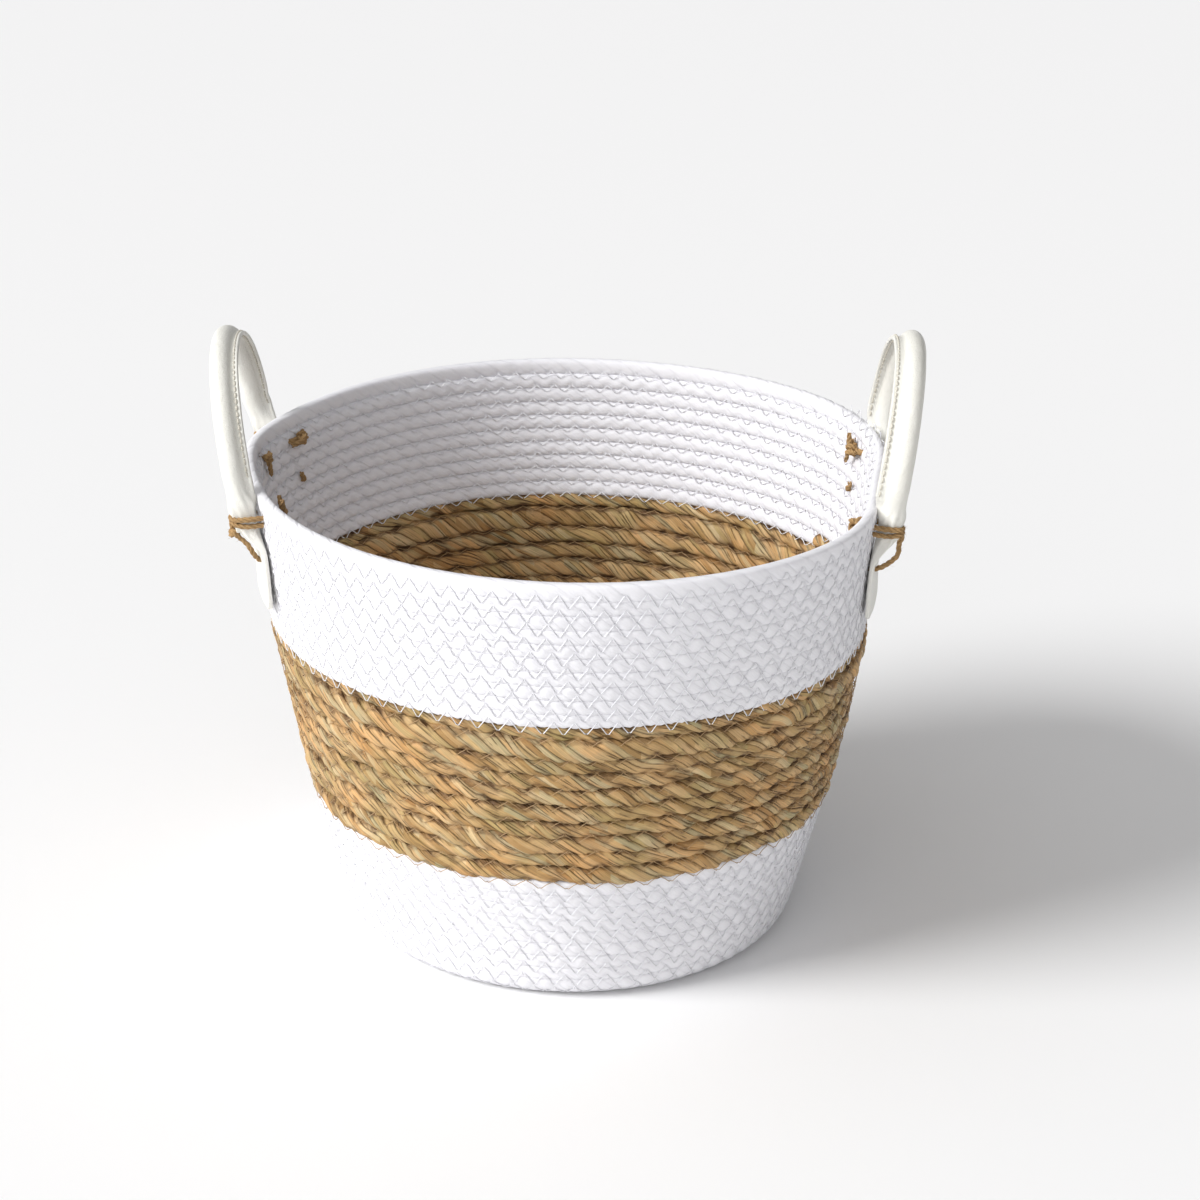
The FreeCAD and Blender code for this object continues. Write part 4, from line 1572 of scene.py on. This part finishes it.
    def build_seam(self) -> bpy.types.Object:
        """Model the stitches along both faces of the flange.

        Returns:
            The piece.
        """
        path, across, sideways, open_share, _ = self.rings()
        along = lengths_along(path)
        sewn = along[open_share > 0.93]
        store = MeshStore()
        shape = self.shape
        inset = shape.flange_tip - shape.seam_inset
        count = 6
        part = np.linspace(0.0, 1.0, count)
        crown = shape.stitch_crown * np.sin(math.pi * part) ** 0.6
        lift = shape.flange_half - shape.stitch_sunk + crown
        for face in (-1.0, 1.0):
            for start in np.arange(sewn[0], sewn[-1] - shape.stitch_length, shape.stitch_pitch):
                at = start + shape.stitch_length * part
                base = values_at(at, along, path)
                inner = values_at(at, along, across)
                side = values_at(at, along, sideways)
                line = base + inner * inset + side * (face * lift)[:, None]
                rings = round_tube(line, side * face, np.full(count, shape.stitch_radius), count)
                store.add_tube(rings, at, np.repeat(np.arange(count)[None] / count, count, 0), 1.0)
        return store.make(f"{self.name}_seam")

    def build(self) -> None:
        """Build both pieces and dress them, with their places fixed in their meshes."""
        body = self.name
        pieces = (
            (self.build_strap(), "handle_leather", self.leather, (f"{body}_cover", f"{body}_core")),
            (self.build_seam(), "white_thread", self.thread, (f"{body}_seam",)),
        )
        for piece, slot, material, replaced in pieces:
            finish_piece(piece, "", material, replaced)
            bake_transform(piece)


@dataclass
class Tab:
    """Flat leather end of a strap, under the lashing and against the wall."""

    leg: LegSite
    leather: bpy.types.Material
    width: float = 0.021
    length: float = 0.044
    half_thickness: float = 0.0013
    neck_half_width: float = 0.0046
    neck_half_thickness: float = 0.0050
    neck_out: float = 0.0064
    neck_over_tie: float = 0.0015
    gather_drop: float = 0.0165
    gather_length: float = 0.015
    curl: float = 0.0012
    ripple: float = 0.0003
    cup: float = 0.0009
    dimple: float = 0.0007
    dimple_radius: float = 0.0016
    points: int = 44
    rows: int = 90

    def build(self) -> bpy.types.Object:
        """Model the tab from its round end up into the gathered neck.

        It follows the curved wall and gathers into pleats, which no modifier does, so it is laid
        row by row.

        Returns:
            The piece.
        """
        leg = self.leg
        rng = np.random.default_rng(SEED + 60 + leg.side.value * 3 + leg.end.value)
        share = np.linspace(0.0, 1.0, self.rows) ** 0.85
        drop = self.length - share * (self.length + self.neck_over_tie)
        half_width = self.width / 2
        past_round = ((drop - (self.length - half_width)) / half_width).clip(0.0, 1.0)
        rounding = np.sqrt(np.clip(1.0 - past_round ** 2, 0.0, 1.0))
        gather = smooth((self.gather_drop - drop) / self.gather_length)
        flat = 1.0 - gather
        smallest, wall_gap = 0.00015, 0.0003
        width = half_width * rounding * flat + self.neck_half_width * gather + smallest
        thin_edge = np.minimum(1.0, rounding * 1.6 + 0.12)
        thick = self.half_thickness * thin_edge * flat + self.neck_half_thickness * gather
        stand = (self.half_thickness + wall_gap) * flat + self.neck_out * gather
        power = 5.0 - 2.8 * gather
        lift = self.curl * smooth((drop - 0.02) / 0.02) * rng.uniform(0.4, 1.2)
        turn = np.arange(self.points) * TURN / self.points
        cosine, sine = np.cos(turn)[None], np.sin(turn)[None]
        across = width[:, None] * np.sign(cosine) * np.abs(cosine) ** (2.0 / power[:, None])
        out = thick[:, None] * np.sign(sine) * np.abs(sine) ** (2.0 / power[:, None])
        pleat = 1.0 + 0.07 * np.cos(7.0 * turn + 1.0)[None] * gather[:, None]
        across, out = across * pleat, out * pleat
        ripple = self.ripple * wander(drop[::-1], 0.008, rng)[::-1][:, None] * across / half_width
        cup = self.cup * (across / half_width) ** 2 * rng.uniform(0.4, 1.3)
        from_stitch = across ** 2 + (drop[:, None] - (leg.tie_z - leg.stitch_z)) ** 2
        dimple = self.dimple * np.exp(-(from_stitch / self.dimple_radius ** 2)) * (out > 0)
        out = out + stand[:, None] + lift[:, None] + ripple + cup * flat[:, None] - dimple
        rings = np.zeros((self.rows, self.points, 3))
        for row in range(self.rows):
            for place in range(self.points):
                rings[row, place] = leg.at(out[row, place], across[row, place], leg.tie_z - drop[row])
        store = MeshStore()
        store.add_tube(rings, drop, np.repeat(turn[None] / TURN, self.rows, 0), 1.0)
        piece = store.make(f"{leg.name}_tab", "leather")
        return finish_piece(piece, "basket", self.leather, (f"{leg.name}_tab",))


@dataclass
class Twine:
    """Jute twine laid from three plies, with loose fibres."""

    radius: float
    rng: np.random.Generator
    store: MeshStore = field(default_factory=MeshStore)
    plies: int = 3
    lead: float = 0.0085
    ply_offset: float = 0.52
    ply_radius: float = 0.56
    ply_sides: int = 6
    fray_length: float = 0.003
    hair_spacing: float = 0.0011
    hair_radius: float = 0.00006

    def lay(self, points: list, taper: bool = False) -> None:
        """Lay one strand.

        Args:
            points: what it goes through.
            taper: whether its last part is a frayed end.
        """
        path = spline(points, 0.0006)
        first, second = carried_frames(path, np.array([0.31, 0.52, 0.80]))
        along = lengths_along(path)
        size = self.radius * (1.0 + 0.12 * wander(along, 0.006, self.rng))
        spread = np.ones(len(path))
        if taper:
            end = smooth((along - (along[-1] - self.fray_length)) / self.fray_length)
            spread = 1.0 + 0.5 * end
            size = size * (1.0 - 0.35 * end)
        for ply in range(self.plies):
            turn = TURN * (along / self.lead + ply / self.plies) + 0.3 * wander(along, 0.01, self.rng)
            swing = first * np.cos(turn)[:, None] + second * np.sin(turn)[:, None]
            line = path + swing * (size * self.ply_offset * spread)[:, None]
            rings = round_tube(line, swing, size * self.ply_radius, self.ply_sides)
            v = np.arange(self.ply_sides)[None] / self.ply_sides + along[:, None] / 0.004 + ply
            self.store.add_tube(rings, along, v, 1.0)
        for start in np.arange(0.001, along[-1], self.hair_spacing):
            self.add_hair(*(values_at(start, along, values) for values in (path, first, second)))

    def add_hair(self, root: np.ndarray, first: np.ndarray, second: np.ndarray) -> None:
        """Add one loose fibre.

        Args:
            root: middle of the strand beneath it.
            first: one direction square to the strand.
            second: the other direction.
        """
        turn = self.rng.uniform(0.0, TURN)
        out = first * math.cos(turn) + second * math.sin(turn)
        drift = unit(self.rng.normal(0.0, 1.0, 3))
        length = self.rng.uniform(0.0008, 0.0026)
        part = np.linspace(0.0, 1.0, 4)[:, None]
        line = root + out * (self.radius * 0.8 + length * 0.55 * part) + drift * length * part ** 2
        rings = round_tube(line, np.repeat(drift[None], 4, 0) + 0.01,
                           self.hair_radius * (1.15 - part[:, 0]), 3)
        self.store.add_tube(rings, part[:, 0], np.zeros((4, 3)), 1.0)


@dataclass(frozen=True)
class TwineFit:
    """How the twine of one leg is tied; each tail is across, up and inwards from its knot."""

    tails: tuple[tuple[float, float, float], ...]
    loose: float = 0.002
    outer_knot: bool = True
    knot_size: float = 0.0019
    spare: float = 0.0


@dataclass
class LegTwine:
    """The twine of one leg: lashing, stitch to the tab, and knot inside the wall."""

    leg: LegSite
    jute: bpy.types.Material
    fit: TwineFit
    radius: float = 0.0012
    neck_side: float = 0.0060
    neck_front: float = 0.0125
    outer_knot_size: float = 0.0016
    spare_knot_size: float = 0.0012

    def __post_init__(self) -> None:
        """Start the leg's own random numbers."""
        self.rng = np.random.default_rng(SEED + 80 + self.leg.side.value * 3 + self.leg.end.value)

    def strand(self) -> Twine:
        """New strand for one of the pieces."""
        return Twine(self.radius, self.rng)

    def finish(self, twine: Twine, piece: str) -> None:
        """Make one piece and dress it."""
        made = twine.store.make(f"{self.leg.name}_{piece}")
        finish_piece(made, "basket", self.jute, (f"{self.leg.name}_{piece}",))

    def build_lashing(self) -> None:
        """Two turns through the wall and round the neck, the second one crossing the first."""
        leg, r = self.leg, self.radius
        twine = self.strand()
        out = self.neck_front
        for turn, (start, stop) in enumerate(((-0.0016, 0.0004), (0.0018, -0.0002))):
            z0, z1 = leg.tie_z + start, leg.tie_z + stop
            wide = self.neck_side + 0.0003 * turn
            twine.lay([
                leg.inside(r, 0.0, z0),
                leg.inside(r * 0.9, -wide * 0.8, z0),
                leg.inside(-0.002, -wide, z0),
                leg.at(0.0008, -wide, z0),
                leg.at(0.0070, -wide * 0.94, z0),
                leg.at(out - 0.0012, -wide * 0.60, z0 * 0.75 + z1 * 0.25),
                leg.at(out, 0.0, (z0 + z1) / 2),
                leg.at(out - 0.0012, wide * 0.60, z0 * 0.25 + z1 * 0.75),
                leg.at(0.0070, wide * 0.94, z1),
                leg.at(0.0008, wide, z1),
                leg.inside(-0.002, wide, z1),
                leg.inside(r * 0.9, wide * 0.8, z1),
                leg.inside(r, 0.001, z1),
            ])
        self.finish(twine, "lashing")

    def build_stitch(self) -> None:
        """The strand from the lashing down over the tab, through the wall and up inside."""
        leg, r = self.leg, self.radius
        twine = self.strand()
        top, low = leg.tie_z - 0.0028, leg.stitch_z
        middle = (top + low) / 2
        loose = self.fit.loose
        twine.lay([
            leg.at(0.0100, 0.002, leg.tie_z + 0.001),
            leg.at(self.neck_front, 0.0015, top),
            leg.at(0.0118, 0.001, top - 0.004),
            leg.at(0.0060 + loose * 2, -0.001, middle),
            leg.at(0.0044 + loose, -0.001, low + 0.0035),
            leg.at(0.0030, 0.0, low + 0.0004),
            leg.at(0.0, 0.0, low),
            leg.inside(-0.002, 0.0, low),
            leg.inside(r, 0.0, low + 0.0006),
            leg.inside(r, 0.0012, low + 0.0026),
            leg.inside(r * 1.3, 0.0022, low + 0.0046),
        ], taper=True)
        if self.fit.outer_knot:
            self.add_knot(twine, leg.at(0.0118, 0.001, top - 0.0035), self.outer_knot_size)
        self.finish(twine, "stitch")

    def add_knot(self, twine: Twine, centre: np.ndarray, size: float) -> None:
        """Small overhand knot round a strand.

        Args:
            twine: the strand.
            centre: its middle.
            size: its radius.
        """
        turns = np.linspace(0.0, 2.2 * TURN, 18)
        radial = np.array([math.cos(self.leg.azimuth), math.sin(self.leg.azimuth), 0.0])
        tangent = np.array([-radial[1], radial[0], 0.0])
        upward = np.array([0.0, 0.0, 1.0])
        loop = []
        for turn in turns:
            round_it = radial * math.cos(turn) + tangent * math.sin(turn)
            climb = 0.9 * math.sin(turn * 0.45) + 0.35 * math.sin(2.0 * turn)
            loop.append(centre + size * round_it + upward * size * climb)
        twine.lay(loop)

    def build_knot(self) -> None:
        """The knot on the inside with its short frayed tails."""
        leg, r = self.leg, self.radius
        twine = self.strand()
        z = leg.tie_z
        centre = leg.inside(r * 2.6, 0.0, z)
        self.add_knot(twine, centre, self.fit.knot_size)
        for across, rise, inward in self.fit.tails:
            twine.lay([
                centre,
                leg.inside(r * 3.4, across * 0.35, z + rise * 0.3),
                leg.inside(r * 2.2 + inward * 0.6, across * 0.75, z + rise * 0.8),
                leg.inside(r * 1.6 + inward, across, z + rise * 1.3),
            ], taper=True)
        if self.fit.spare:
            self.add_spare_end(twine)
        self.finish(twine, "knot")

    def add_spare_end(self, twine: Twine) -> None:
        """End of the twine that comes through the wall beside the leg, with a knot on it.

        Args:
            twine: the strand that it belongs to.
        """
        leg, r = self.leg, self.radius
        spare = self.fit.spare
        z = leg.tie_z + 0.003
        twine.lay([
            leg.inside(-0.003, spare, z),
            leg.inside(r, spare, z),
            leg.inside(r * 1.6, spare - 0.0005, z - 0.004),
            leg.inside(r * 1.2, spare - 0.0025, z - 0.0095),
        ], taper=True)
        twine.lay([
            leg.inside(r * 1.4, spare + 0.0045, z + 0.0022),
            leg.inside(r * 2.2, spare, z + 0.0008),
            leg.inside(r * 1.4, spare - 0.0035, z + 0.0014),
        ], taper=True)
        self.add_knot(twine, leg.inside(r * 1.6, spare, z), self.spare_knot_size)

    def build(self) -> None:
        """Build the three pieces."""
        self.build_lashing()
        self.build_stitch()
        self.build_knot()


# ---------------------------------------------------------------- studio


@dataclass
class Studio:
    """Floor, lights and camera."""

    distance: float = 1.35
    elevation: float = math.radians(20.43)
    aim_right: float = 0.00904
    aim_down: float = 0.04757
    roll: float = math.radians(1.25)
    lens: float = 88.3
    floor_size: float = 30.0
    sun_place: tuple[float, float, float] = (-2.2, -0.95, 1.9)
    sun_strength: float = 2.8
    sun_angle: float = math.radians(24.0)
    fill_place: tuple[float, float, float] = (-0.6, -2.4, 0.9)
    fill_size: float = 1.8
    fill_power: float = 6.0
    dark_side: tuple[float, float, float] = (0.80, 0.60, 0.0)
    sky_bright: float = 0.86
    sky_dim: float = 0.12

    def build(self, target: Vector) -> None:
        """Build the studio round the centre of the rim.

        Args:
            target: centre of the rim.
        """
        self.add_camera(target)
        self.add_floor()
        sun = bpy.data.lights.new("key", "SUN")
        sun.energy = self.sun_strength
        sun.angle = self.sun_angle
        self.hang(sun, self.sun_place, target)
        fill = bpy.data.lights.new("front fill", "AREA")
        fill.size = self.fill_size
        fill.energy = self.fill_power
        self.hang(fill, self.fill_place, target)
        self.add_sky()
        bpy.context.scene.view_settings.view_transform = "Standard"

    def add_sky(self) -> None:
        """Add the soft light from all round, dimmer from the right and the back."""
        world = bpy.data.worlds.new("studio")
        world.use_nodes = True
        back = world.node_tree.nodes["Background"]
        back.inputs["Color"].default_value = (1.0, 0.995, 1.0, 1.0)
        sky = NodeSheet(world.node_tree)
        direction = sky.add("ShaderNodeTexCoord")
        facing = sky.add("ShaderNodeVectorMath", operation="DOT_PRODUCT")
        facing.inputs[1].default_value = self.dark_side
        sky.join(direction.outputs["Generated"], facing.inputs[0])
        strength = sky.stretch(facing.outputs["Value"], -1.0, 1.0, self.sky_bright, self.sky_dim)
        sky.join(strength, back.inputs["Strength"])
        bpy.context.scene.world = world

    def add_camera(self, target: Vector) -> None:
        """Place the camera by its distance, elevation, aim and roll.

        Args:
            target: point that it is fitted to.
        """
        forward = Vector((0.0, math.cos(self.elevation), -math.sin(self.elevation)))
        upward = Vector((0.0, math.sin(self.elevation), math.cos(self.elevation)))
        axis = (forward + Vector((self.aim_right, 0.0, 0.0)) - upward * self.aim_down).normalized()
        level = axis.cross(Vector((0.0, 0.0, 1.0))).normalized()
        raised = level.cross(axis)
        right = level * math.cos(self.roll) + raised * math.sin(self.roll)
        top = raised * math.cos(self.roll) - level * math.sin(self.roll)
        camera = bpy.data.cameras.new("camera")
        camera.lens = self.lens
        camera.sensor_width = 36.0
        holder = bpy.data.objects.new("camera", camera)
        place = Matrix((right, top, -axis)).transposed().to_4x4()
        place.translation = target - forward * self.distance
        holder.matrix_world = place
        bpy.context.scene.collection.objects.link(holder)
        bpy.context.scene.camera = holder

    def add_floor(self) -> None:
        """Add the plain pale floor."""
        bpy.ops.object.select_all(action="DESELECT")
        bpy.ops.mesh.primitive_plane_add(size=self.floor_size, location=(0.0, 0.0, 0.0))
        floor = bpy.context.active_object
        floor.name = "floor"
        material, _, shader = start_material("floor")
        shader.inputs["Base Color"].default_value = (0.93, 0.93, 0.93, 1.0)
        shader.inputs["Roughness"].default_value = 0.7
        floor.data.materials.append(material)

    @staticmethod
    def hang(light: bpy.types.Light, place: tuple[float, float, float], target: Vector) -> None:
        """Put a light in the scene.

        Args:
            light: the light.
            place: where it is.
            target: what it points at.
        """
        holder = bpy.data.objects.new(light.name, light)
        holder.location = place
        holder.rotation_euler = (target - Vector(place)).to_track_quat("-Z", "Y").to_euler()
        bpy.context.scene.collection.objects.link(holder)


# ---------------------------------------------------------------- the basket


@dataclass(frozen=True)
class BandStyle:
    """What one kind of band is made of."""

    cord: CordKind
    cord_finish: bpy.types.Material
    cord_slot: str
    stitch: StitchKind
    thread_finish: bpy.types.Material
    thread_slot: str


@dataclass
class BasketBody:
    """The sewn wall and base."""

    kit: FinishKit
    wall: WallShape = field(default_factory=WallShape)

    def __post_init__(self) -> None:
        """Lay out the coil."""
        self.coil = Coil(self.wall)

    def build(self) -> None:
        """Model the cords and their stitching, and dress them."""
        white_cord = PaperCord().build(self.kit)
        rush_cord = SeagrassCord().build(self.kit)
        white_thread = SewingThread("white thread", light=(0.90, 0.90, 0.92), shade=(0.74, 0.74, 0.78))
        brown_thread = SewingThread("brown thread", light=(0.50, 0.33, 0.16), shade=(0.30, 0.17, 0.08))
        paper = BandStyle(
            cord=PAPER,
            cord_finish=white_cord,
            cord_slot="white_paper_cord",
            stitch=StitchKind(period=0.0091, up=0.0034, down=0.0035),
            thread_finish=white_thread.build(self.kit),
            thread_slot="white_thread",
        )
        rush = BandStyle(
            cord=SEAGRASS,
            cord_finish=rush_cord,
            cord_slot="seagrass_cord",
            stitch=StitchKind(period=0.0115, up=0.0024, down=0.0022, radius=0.00018),
            thread_finish=brown_thread.build(self.kit),
            thread_slot="brown_thread",
        )
        self.build_cords(paper, rush)
        self.build_threads(paper, rush)

    def build_cords(self, paper: BandStyle, rush: BandStyle) -> None:
        """Build the cord in lengths, from the middle of the base to the rim.

        Args:
            paper: style of the white bands.
            rush: style of the seagrass band.
        """
        coil = self.coil
        lower_mid = (coil.wall_start + coil.seagrass_start) // 2
        rush_mid = (coil.seagrass_start + coil.upper_start) // 2
        upper_mid = (coil.upper_start + coil.rows) // 2
        lengths = [
            ("base_cord", paper, coil.first_turn, coil.wall_start, ("base_mat",)),
            ("lower_cord_first", paper, coil.wall_start, lower_mid, ("lower_band",)),
            ("lower_cord_second", paper, lower_mid, coil.seagrass_start, ()),
            ("seagrass_cord_first", rush, coil.seagrass_start, rush_mid, ("seagrass_band",)),
            ("seagrass_cord_second", rush, rush_mid, coil.upper_start, ()),
            ("upper_cord_first", paper, coil.upper_start, upper_mid, ("upper_band",)),
            ("upper_cord_second", paper, upper_mid, coil.rows, ("rim_row",)),
        ]
        for name, style, start, stop, replaced in lengths:
            piece = CordLength(name, coil, style.cord, start, stop, style.stitch).build()
            finish_piece(piece, "basket", style.cord_finish, replaced)

    def build_threads(self, paper: BandStyle, rush: BandStyle) -> None:
        """Sew the rows together on both faces; each band's thread includes the seam beneath it.

        Args:
            paper: style of the white bands.
            rush: style of the seagrass band.
        """
        coil = self.coil
        seams = [
            ("base", paper, 1.0, coil.wall_start),
            ("lower", paper, coil.wall_start, coil.seagrass_start - 1.0),
            ("seagrass", rush, coil.seagrass_start - 1.0, coil.upper_start - 1.0),
            ("upper", paper, coil.upper_start - 1.0, coil.rows - 1.0),
        ]
        for band, style, start, stop in seams:
            node = "base_thread" if band == "base" else f"{band}_band_thread"
            for face in Face:
                piece = ZigzagStitching(f"{band}_stitching_{face.name.lower()}", coil, style.stitch, face,
                                        start, stop, style.cord.half_thickness).build()
                replaced = (node,) if face is Face.OUTSIDE else ()
                finish_piece(piece, "basket", style.thread_finish, replaced)


LEFT_FIT = HandleFit(shift=0.0036, radius=0.0528, rise=0.0502, lean=10.2, yaw=-1.4, flange_tip=0.0080)
RIGHT_FIT = HandleFit(shift=-0.0034, radius=0.0550, rise=0.0538, lean=8.2, yaw=2.8, flange_tip=0.0094)
HANDLE_FITS = {Side.LEFT: LEFT_FIT, Side.RIGHT: RIGHT_FIT}
TWINE_FITS = {
    (Side.LEFT, End.FRONT): TwineFit(
        tails=((0.004, 0.0060, 0.002), (-0.006, 0.0068, 0.001)), loose=0.0008),
    (Side.LEFT, End.REAR): TwineFit(
        tails=((0.0075, -0.001, 0.0), (-0.0055, 0.001, 0.0)), outer_knot=False, knot_size=0.0013,
        spare=0.038),
    (Side.RIGHT, End.FRONT): TwineFit(
        tails=((-0.0075, -0.002, 0.001), (0.004, -0.002, 0.001)), loose=0.0030, outer_knot=False,
        knot_size=0.0012),
    (Side.RIGHT, End.REAR): TwineFit(
        tails=((-0.0035, 0.0055, 0.002), (-0.003, -0.0055, 0.002), (0.0065, 0.0, 0.001))),
}


@dataclass
class HandleSet:
    """Both handles with their tabs and twine."""

    kit: FinishKit
    wall: WallShape

    def build(self) -> None:
        """Build everything that is tied to the rim."""
        leather = Leather().build(self.kit)
        jute = Jute().build(self.kit)
        thread = SewingThread("handle thread", light=(0.74, 0.71, 0.62), shade=(0.50, 0.46, 0.38))
        thread_finish = thread.build(self.kit)
        for side in Side:
            legs = {end: LegSite(side, end, self.wall) for end in End}
            Handle(side, self.wall, legs, leather, thread_finish, HANDLE_FITS[side]).build()
            for end, leg in legs.items():
                Tab(leg, leather).build()
                LegTwine(leg, jute, TWINE_FITS[side, end]).build()


def main() -> None:
    """Build the studio and the basket in order."""
    logging.basicConfig(level=logging.INFO, format="%(name)s %(message)s")
    kit = FinishKit()
    basket = BasketBody(kit)
    Studio().build(Vector((0.0, 0.0, basket.wall.rim_z)))
    basket.build()
    HandleSet(kit, basket.wall).build()


if __name__ == "__main__":
    main()
